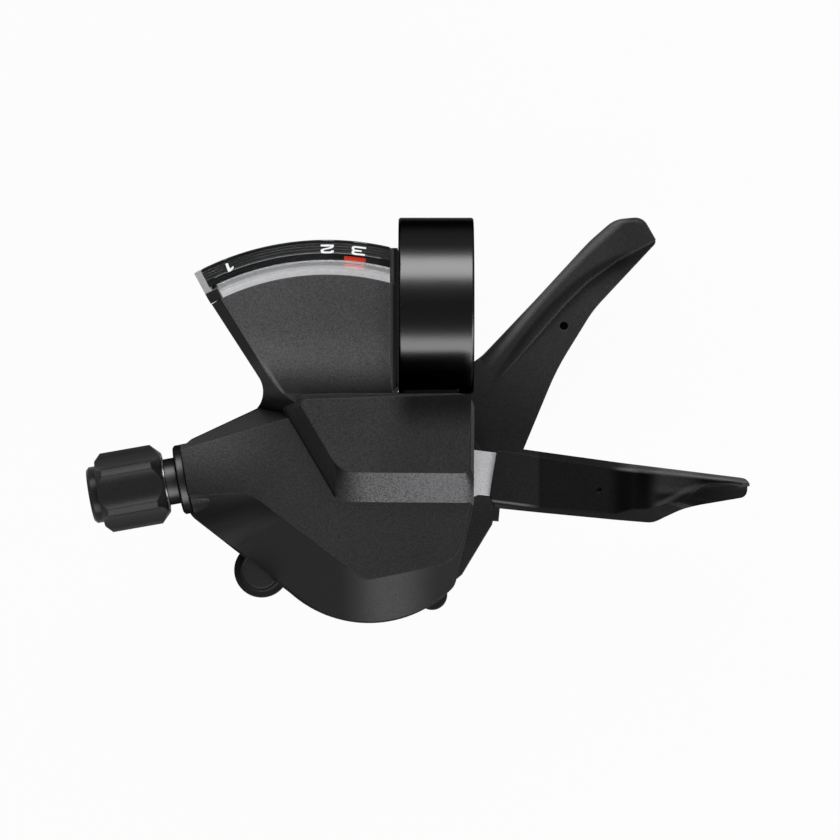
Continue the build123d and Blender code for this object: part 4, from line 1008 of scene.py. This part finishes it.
@dataclass(frozen=True)
class ScaleFace(Finish):
    """Black printed scale with fine ribs that follow the display's arc."""

    colour: Colour = (0.009, 0.009, 0.0092)
    groove: Colour = (0.07, 0.07, 0.071)
    pit: Colour = (0.04, 0.04, 0.041)
    pit_edge: Fade = Fade(40.45 * MM, 40.55 * MM)
    pitch: float = 0.42 * MM
    rib: Fade = Fade(0.5, 1.0)
    breaks: Noise = Noise(160.0)
    break_edge: Fade = Fade(0.3, 0.7)
    faintest: float = 0.25
    roughness: float = 0.5
    break_gloss: float = 0.1
    shine: float = 0.15
    depth: float = 0.005 * MM
    edge: float = 0.1 * MM

    def surface(self, graph: Graph) -> Sock:
        """Shader of the scale.

        Args:
            graph: graph to add nodes to.

        Returns:
            The shader.
        """
        place = graph.place()
        radius = graph.radius(place, ARC_CENTRE)
        ribs = (radius * (2 * pi / self.pitch)).sine().fade(self.rib)
        breaks = graph.noise(place, self.breaks).fade(self.break_edge)
        lit = ribs * (self.faintest + breaks * (1.0 - self.faintest))
        tone = graph.mix(radius.fade(self.pit_edge), self.pit, self.colour)
        return graph.principled({
            "Base Color": graph.mix(lit, tone, self.groove),
            "Roughness": self.roughness + breaks * self.break_gloss,
            "Specular IOR Level": self.shine,
            "Normal": graph.bump(ribs, self.depth, graph.soft_normal(self.edge))})


COVER = CoverPlastic("moulded_cover", (0.055, 0.055, 0.0567), 0.52, shine=0.2, speckle=1.7)
BASE = MouldedPlastic("moulded_base", (0.022, 0.022, 0.0225), 0.48, shine=0.3, steep_light_and_shade=0.5)
PLUG = MouldedPlastic("moulded_plug", (0.042, 0.042, 0.043), 0.48, shine=0.3)
LEVER = LeverPlastic("moulded_lever", (0.032, 0.032, 0.0323), 0.46, shine=0.3, speckle=1.3)
FINGER = FingerPlastic("moulded_finger_lever", (0.0105, 0.0105, 0.0107), 0.4, shine=0.07,
                       speckle=1.3, reach=24.0)
KNOB = MouldedPlastic("moulded_knob", (0.024, 0.024, 0.0245), 0.3, edge=0.25 * MM, wear_and_highlight=4.0,
                      shine=0.24, steep_light_and_shade=0.1)
NYLON = MouldedPlastic("natural_drum", (0.24, 0.24, 0.22), 0.4, depth=0.004 * MM, wear_and_highlight=0.1,
                       speckle=0.2)
BAND = SatinCoat("satin_band")
INSERT = SatinCoat("insert_coat", (0.11, 0.11, 0.112), 0.45)
BARREL = SatinCoat("barrel_coat", (0.035, 0.035, 0.0355), 0.45)
ZINC = PlatedSheet("zinc_plate")
TURNED = TurnedSteel("turned_steel")
BLACKENED = BlackSteel("black_steel")
WIRE = DrawnWire("spring_wire")
LENS = ClearLens("clear_lens_moulding")
SCALE = ScaleFace("scale_face")
POINTER = SignalPaint("pointer_orange")
NUMBER = SignalPaint("number_white", (0.86, 0.86, 0.87), 0.5)
LINE = SignalPaint("line_grey", (0.3, 0.3, 0.31), 0.4)


def link_rows(made: bmesh.types.BMesh, rows: list[list[bmesh.types.BMVert]]) -> None:
    """Skin a row of rings into a closed bar.

    Args:
        made: mesh to add to.
        rows: rings of corners, one after the other.
    """
    for before, after in zip(rows, rows[1:]):
        for i in range(len(before)):
            j = (i + 1) % len(before)
            made.faces.new((before[i], before[j], after[j], after[i]))
    made.faces.new(rows[0])
    made.faces.new(reversed(rows[-1]))


def finish_mesh(name: str, made: bmesh.types.BMesh) -> bpy.types.Mesh:
    """Turn the faces outward and hand the mesh over.

    Args:
        name: name of the mesh.
        made: mesh that is ready; it is freed.

    Returns:
        The mesh.
    """
    bmesh.ops.recalc_face_normals(made, faces=made.faces)
    mesh = bpy.data.meshes.new(name)
    made.to_mesh(mesh)
    made.free()
    return mesh


def new_object(name: str, mesh: bpy.types.Mesh, finish: Finish, body: Body) -> bpy.types.Object:
    """Put a new mesh into the scene on a body.

    Args:
        name: piece name.
        mesh: its mesh, in place.
        finish: its finish.
        body: body that it rides on.

    Returns:
        The new object.
    """
    piece = bpy.data.objects.new(name, mesh)
    bpy.context.scene.collection.objects.link(piece)
    mesh.materials.append(finish.material())
    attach(piece, body.value)
    LOG.info("%s: built on %s", name, body.value)
    return piece


@dataclass
class SubAssembly:
    """Solids that belong together, with their finishes and the pieces added to them."""

    finishes: ClassVar[dict[Finish, tuple[str, ...]]] = {}

    def build(self) -> None:
        """Add the pieces that the solids lack; most sub-assemblies lack none."""

    def dress(self) -> None:
        """Give every solid its finish."""
        for finish, names in self.finishes.items():
            for name in names:
                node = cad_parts[name]
                if not node.material_slots:
                    node.data.materials.append(finish.material())
                for place in node.material_slots:
                    place.material = finish.material()
                LOG.info("%s: %s", name, finish.name)


@dataclass
class Housing(SubAssembly):
    """Cover, base, plug and the screws that hold them."""

    finishes: ClassVar[dict[Finish, tuple[str, ...]]] = {
        COVER: ("top_cover",),
        BASE: ("base_bracket",),
        PLUG: ("cable_plug",),
        BLACKENED: ("cover_screws",),
    }
    # Place of the dark strip that paints the shade in the slit beside the clamp band.
    shade_strip_across: Span = (-6.1 * MM, -5.81 * MM)
    shade_strip_along: Span = (-13.3 * MM, 8.3 * MM)
    shade_strip_level: Span = (12.4 * MM, 13.9 * MM)
    shade_strip_steps: int = 24

    def build(self) -> None:
        """Fit a thin dark strip into the slit between the roof and the clamp band, as painted
        shade.
        """
        made = bmesh.new()
        corners = ((0, 0), (1, 0), (1, 1), (0, 1))
        start, end = self.shade_strip_along
        rows = []
        for step in range(self.shade_strip_steps + 1):
            y = start + (end - start) * step / self.shade_strip_steps
            rows.append([made.verts.new((self.shade_strip_across[i], y, self.shade_strip_level[j]))
                         for i, j in corners])
        link_rows(made, rows)
        mesh = finish_mesh("gap_shade_strip", made)
        new_object("gap_shade_strip", mesh, BASE, Body.HOUSING)


@dataclass
class Clamp(SubAssembly):
    """Clamp band with its bolt and nut."""

    finishes: ClassVar[dict[Finish, tuple[str, ...]]] = {
        BAND: ("clamp_band",),
        BLACKENED: ("clamp_bolt", "clamp_nut"),
    }


# Outlines of the figures, in millimetres about their middles.
FIGURES: dict[str, tuple[Point, ...]] = {
    "1": ((0.42, 0.67), (0.42, -0.67), (-0.02, -0.67), (-0.02, 0.27), (-0.62, 0.06),
          (-0.62, 0.36), (0.02, 0.67)),
    "2": ((-1.0, 0.22), (-1.0, 0.44), (-0.86, 0.6), (-0.6, 0.67), (0.6, 0.67), (0.9, 0.59),
          (1.0, 0.42), (1.0, 0.2), (0.9, 0.05), (0.65, -0.05), (-0.3, -0.26), (-0.5, -0.37),
          (1.0, -0.37), (1.0, -0.67), (-1.0, -0.67), (-1.0, -0.4), (-0.85, -0.2), (-0.55, -0.06),
          (0.42, 0.15), (0.54, 0.23), (0.54, 0.33), (0.44, 0.38), (-0.44, 0.38), (-0.55, 0.33),
          (-0.56, 0.22)),
    "3": ((-1.02, 0.67), (0.72, 0.67), (0.98, 0.57), (1.06, 0.38), (1.02, 0.18), (0.86, 0.03),
          (1.06, -0.12), (1.12, -0.34), (1.02, -0.56), (0.74, -0.67), (-1.08, -0.67), (-1.08, -0.4),
          (0.58, -0.4), (0.68, -0.34), (0.68, -0.19), (0.58, -0.12), (-0.45, -0.12), (-0.45, 0.14),
          (0.54, 0.14), (0.63, 0.2), (0.63, 0.33), (0.54, 0.39), (-1.02, 0.39)),
}


@dataclass
class Display(SubAssembly):
    """Gear display: lens, scale, needle and printed numbers."""

    finishes: ClassVar[dict[Finish, tuple[str, ...]]] = {
        LENS: ("display_lens",),
        SCALE: ("scale_plate",),
        POINTER: ("needle",),
        TURNED: ("needle_pivot",),
    }
    number_radius: float = 41.25 * MM
    number_level: float = 15.9 * MM
    print_thickness: float = 0.04 * MM
    line_radius: float = 40.66 * MM
    line_width: float = 0.08 * MM
    line_span: Span = (78.3, 115.0)
    line_steps: int = 48
    numbers: dict[str, float] = field(default_factory=lambda: {"1": 111.1, "2": 89.9, "3": 83.25})

    def number(self, figure: str, angle: float) -> bpy.types.Object:
        """Print one figure on the number ledge, upright for the rider.

        Args:
            figure: the figure.
            angle: its place about the display's centre, in degrees.

        Returns:
            The printed figure.
        """
        made = bmesh.new()
        face = made.faces.new([made.verts.new((x * MM, y * MM, 0.0)) for x, y in FIGURES[figure]])
        raised = bmesh.ops.extrude_face_region(made, geom=[face])["geom"]
        tops = [item for item in raised if isinstance(item, bmesh.types.BMVert)]
        bmesh.ops.translate(made, vec=(0.0, 0.0, self.print_thickness), verts=tops)
        turn = radians(angle)
        x = ARC_CENTRE[0] + self.number_radius * cos(turn)
        y = ARC_CENTRE[1] + self.number_radius * sin(turn)
        spot = Matrix.Translation((x, y, self.number_level))
        made.transform(spot @ Matrix.Rotation(turn + pi / 2, 4, "Z"))
        mesh = finish_mesh("figure_" + figure, made)
        return new_object("number_" + figure, mesh, NUMBER, Body.HOUSING)

    def line(self) -> bpy.types.Object:
        """Print the fine line along the ledge's inner edge.

        Returns:
            The printed line.
        """
        made = bmesh.new()
        low, high = self.number_level, self.number_level + self.print_thickness
        inner = self.line_radius - self.line_width / 2
        outer = self.line_radius + self.line_width / 2
        ring = ((inner, low), (inner, high), (outer, high), (outer, low))
        start, end = self.line_span
        rows = []
        for step in range(self.line_steps + 1):
            turn = radians(start + (end - start) * step / self.line_steps)
            rows.append([made.verts.new((ARC_CENTRE[0] + radius * cos(turn),
                                         ARC_CENTRE[1] + radius * sin(turn), level))
                         for radius, level in ring])
        link_rows(made, rows)
        mesh = finish_mesh("scale_line", made)
        return new_object("scale_line", mesh, LINE, Body.HOUSING)

    def build(self) -> None:
        """Print the numbers and the line."""
        for figure, angle in self.numbers.items():
            self.number(figure, angle)
        self.line()


@dataclass
class Mechanism(SubAssembly):
    """Axle, drum, ratchet, pawls and springs inside the housing."""

    finishes: ClassVar[dict[Finish, tuple[str, ...]]] = {
        ZINC: ("base_plate", "ratchet_wheel", "feed_pawl", "hold_pawl"),
        TURNED: ("main_axle", "thrust_sleeve", "drum_pin", "feed_pawl_pin", "hold_pawl_pin"),
        BLACKENED: ("axle_clip", "axle_washer", "axle_nut"),
        WIRE: ("drum_spring", "feed_pawl_spring", "hold_pawl_spring", "lever_spring",
               "release_spring"),
        NYLON: ("cable_drum",),
    }


@dataclass
class Levers(SubAssembly):
    """Thumb lever and release lever with their plates."""

    finishes: ClassVar[dict[Finish, tuple[str, ...]]] = {
        LEVER: ("main_lever",),
        FINGER: ("release_lever",),
        ZINC: ("lever_plate", "lever_rivets", "release_plate", "release_rivets"),
    }


@dataclass
class Adjuster(SubAssembly):
    """Barrel adjuster: knob, barrel and its seat."""

    finishes: ClassVar[dict[Finish, tuple[str, ...]]] = {
        KNOB: ("adjuster_knob",),
        INSERT: ("adjuster_insert",),
        BARREL: ("adjuster_barrel",),
        WIRE: ("adjuster_spring", "adjuster_washer"),
    }


@dataclass
class Lamp:
    """Soft box at a direction from the object, in degrees."""

    name: str
    azimuth: float
    elevation: float
    size: tuple[float, float]
    radiance: float
    distance: float = 0.7

    def build(self, target: Vector) -> None:
        """Hang the lamp and turn it to a target.

        Args:
            target: point that the lamp faces.
        """
        light = bpy.data.lights.new(self.name, "AREA")
        light.shape = "RECTANGLE"
        light.size, light.size_y = self.size
        light.energy = self.radiance * pi * self.size[0] * self.size[1]
        lamp = bpy.data.objects.new(self.name, light)
        bpy.context.scene.collection.objects.link(lamp)
        level, turn = radians(self.elevation), radians(self.azimuth)
        way = Vector((cos(level) * cos(turn), cos(level) * sin(turn), sin(level)))
        lamp.location = target + way * self.distance
        lamp.rotation_euler = way.to_track_quat("Z", "Y").to_euler()
        lamp.visible_camera = False


@dataclass
class Studio:
    """Camera, lamps, world and floor."""

    eye: tuple[float, float, float] = (-2.5 * MM, -17.7 * MM, 650 * MM)
    pixels_per_metre: float = 6400.0
    image_width: float = 840.0
    sensor: float = 36.0
    clip: Span = (0.01, 20.0)
    floor_radius: float = 3.0
    floor_sides: int = 96
    floor_gap: float = 0.3 * MM
    floor_white: float = 0.965
    floor_gloss: float = 0.36
    floor_glass: float = 1.0
    room_gloss: float = 0.06
    paper: Colour = (0.56, 0.56, 0.56)
    fibre: Noise = Noise(300.0, 3.0)
    fibre_tones: Span = (0.95, 1.05)
    ambient: float = 0.06
    target: tuple[float, float, float] = (0.0, -15 * MM, 0.0)
    lamps: tuple[Lamp, ...] = (
        Lamp("back_box", 90.0, 39.0, (0.6, 0.36), 4.6),
        Lamp("front_strip", -90.0, 32.0, (0.3, 0.44), 3.2),
        Lamp("key_box", -42.0, 33.0, (0.45, 0.45), 3.6),
    )

    def camera(self) -> None:
        """Set the camera straight above the object."""
        view = bpy.data.cameras.new("camera")
        view.sensor_width = self.sensor
        view.lens = self.sensor * self.pixels_per_metre * self.eye[2] / self.image_width
        view.clip_start, view.clip_end = self.clip
        eye = bpy.data.objects.new("camera", view)
        eye.location = self.eye
        bpy.context.scene.collection.objects.link(eye)
        bpy.context.scene.camera = eye

    def seen(self, graph: Graph, gloss: float, glass: float) -> Sock:
        """Share of the white background that the camera, gloss and glass see.

        Args:
            graph: graph to add nodes to.
            gloss: level for glossy reflections.
            glass: level for what is seen through glass.

        Returns:
            The share, smoothed between 0 and 1.
        """
        level = graph.ray(Ray.CAMERA) + graph.ray(Ray.GLOSSY) * gloss + graph.ray(Ray.GLASS) * glass
        return level.fade(Fade(0.0, 1.0))

    def world(self) -> None:
        """Fill the room with even light."""
        made = bpy.data.worlds.new("room")
        bpy.context.scene.world = made
        made.use_nodes = True
        graph = Graph(made.node_tree)
        seen = self.seen(graph, self.room_gloss, self.room_gloss)
        level = self.ambient + seen * (1.0 - self.ambient)
        room = graph.node("ShaderNodeBackground", {}, {"Color": paint(WHITE), "Strength": level})
        graph.end(room, "ShaderNodeOutputWorld")

    def floor(self) -> None:
        """Lay a pale floor under the lowest point."""
        made = bmesh.new()
        bmesh.ops.create_circle(made, cap_ends=True, segments=self.floor_sides,
                                radius=self.floor_radius)
        mesh = bpy.data.meshes.new("floor")
        made.to_mesh(mesh)
        made.free()
        floor = bpy.data.objects.new("floor", mesh)
        floor.location = (0.0, 0.0, CAD_BOX[0][2] - self.floor_gap)
        bpy.context.scene.collection.objects.link(floor)
        paper = bpy.data.materials.new("floor_paper")
        paper.use_nodes = True
        graph = Graph(paper.node_tree)
        seen = self.seen(graph, self.floor_gloss, self.floor_glass)
        fibre = graph.noise(graph.place(), self.fibre)
        sheet = graph.node("ShaderNodeBsdfDiffuse", {}, {
            "Color": graph.tones(fibre, self.paper, self.fibre_tones)})
        white = graph.node("ShaderNodeEmission", {}, {"Color": paint(WHITE), "Strength": 1.0})
        graph.end(graph.blend(seen * self.floor_white, sheet, white))
        mesh.materials.append(paper)

    def build(self) -> None:
        """Set up the whole studio."""
        self.camera()
        self.world()
        self.floor()
        for lamp in self.lamps:
            lamp.build(Vector(self.target))
        bpy.context.scene.view_settings.view_transform = "Standard"


def main() -> None:
    """Build and dress every sub-assembly, then set up the studio."""
    logging.basicConfig(level=logging.INFO, format="%(message)s")
    for assembly in (Housing(), Clamp(), Display(), Mechanism(), Levers(), Adjuster()):
        assembly.build()
        assembly.dress()
    Studio().build()


if __name__ == "__main__":
    main()
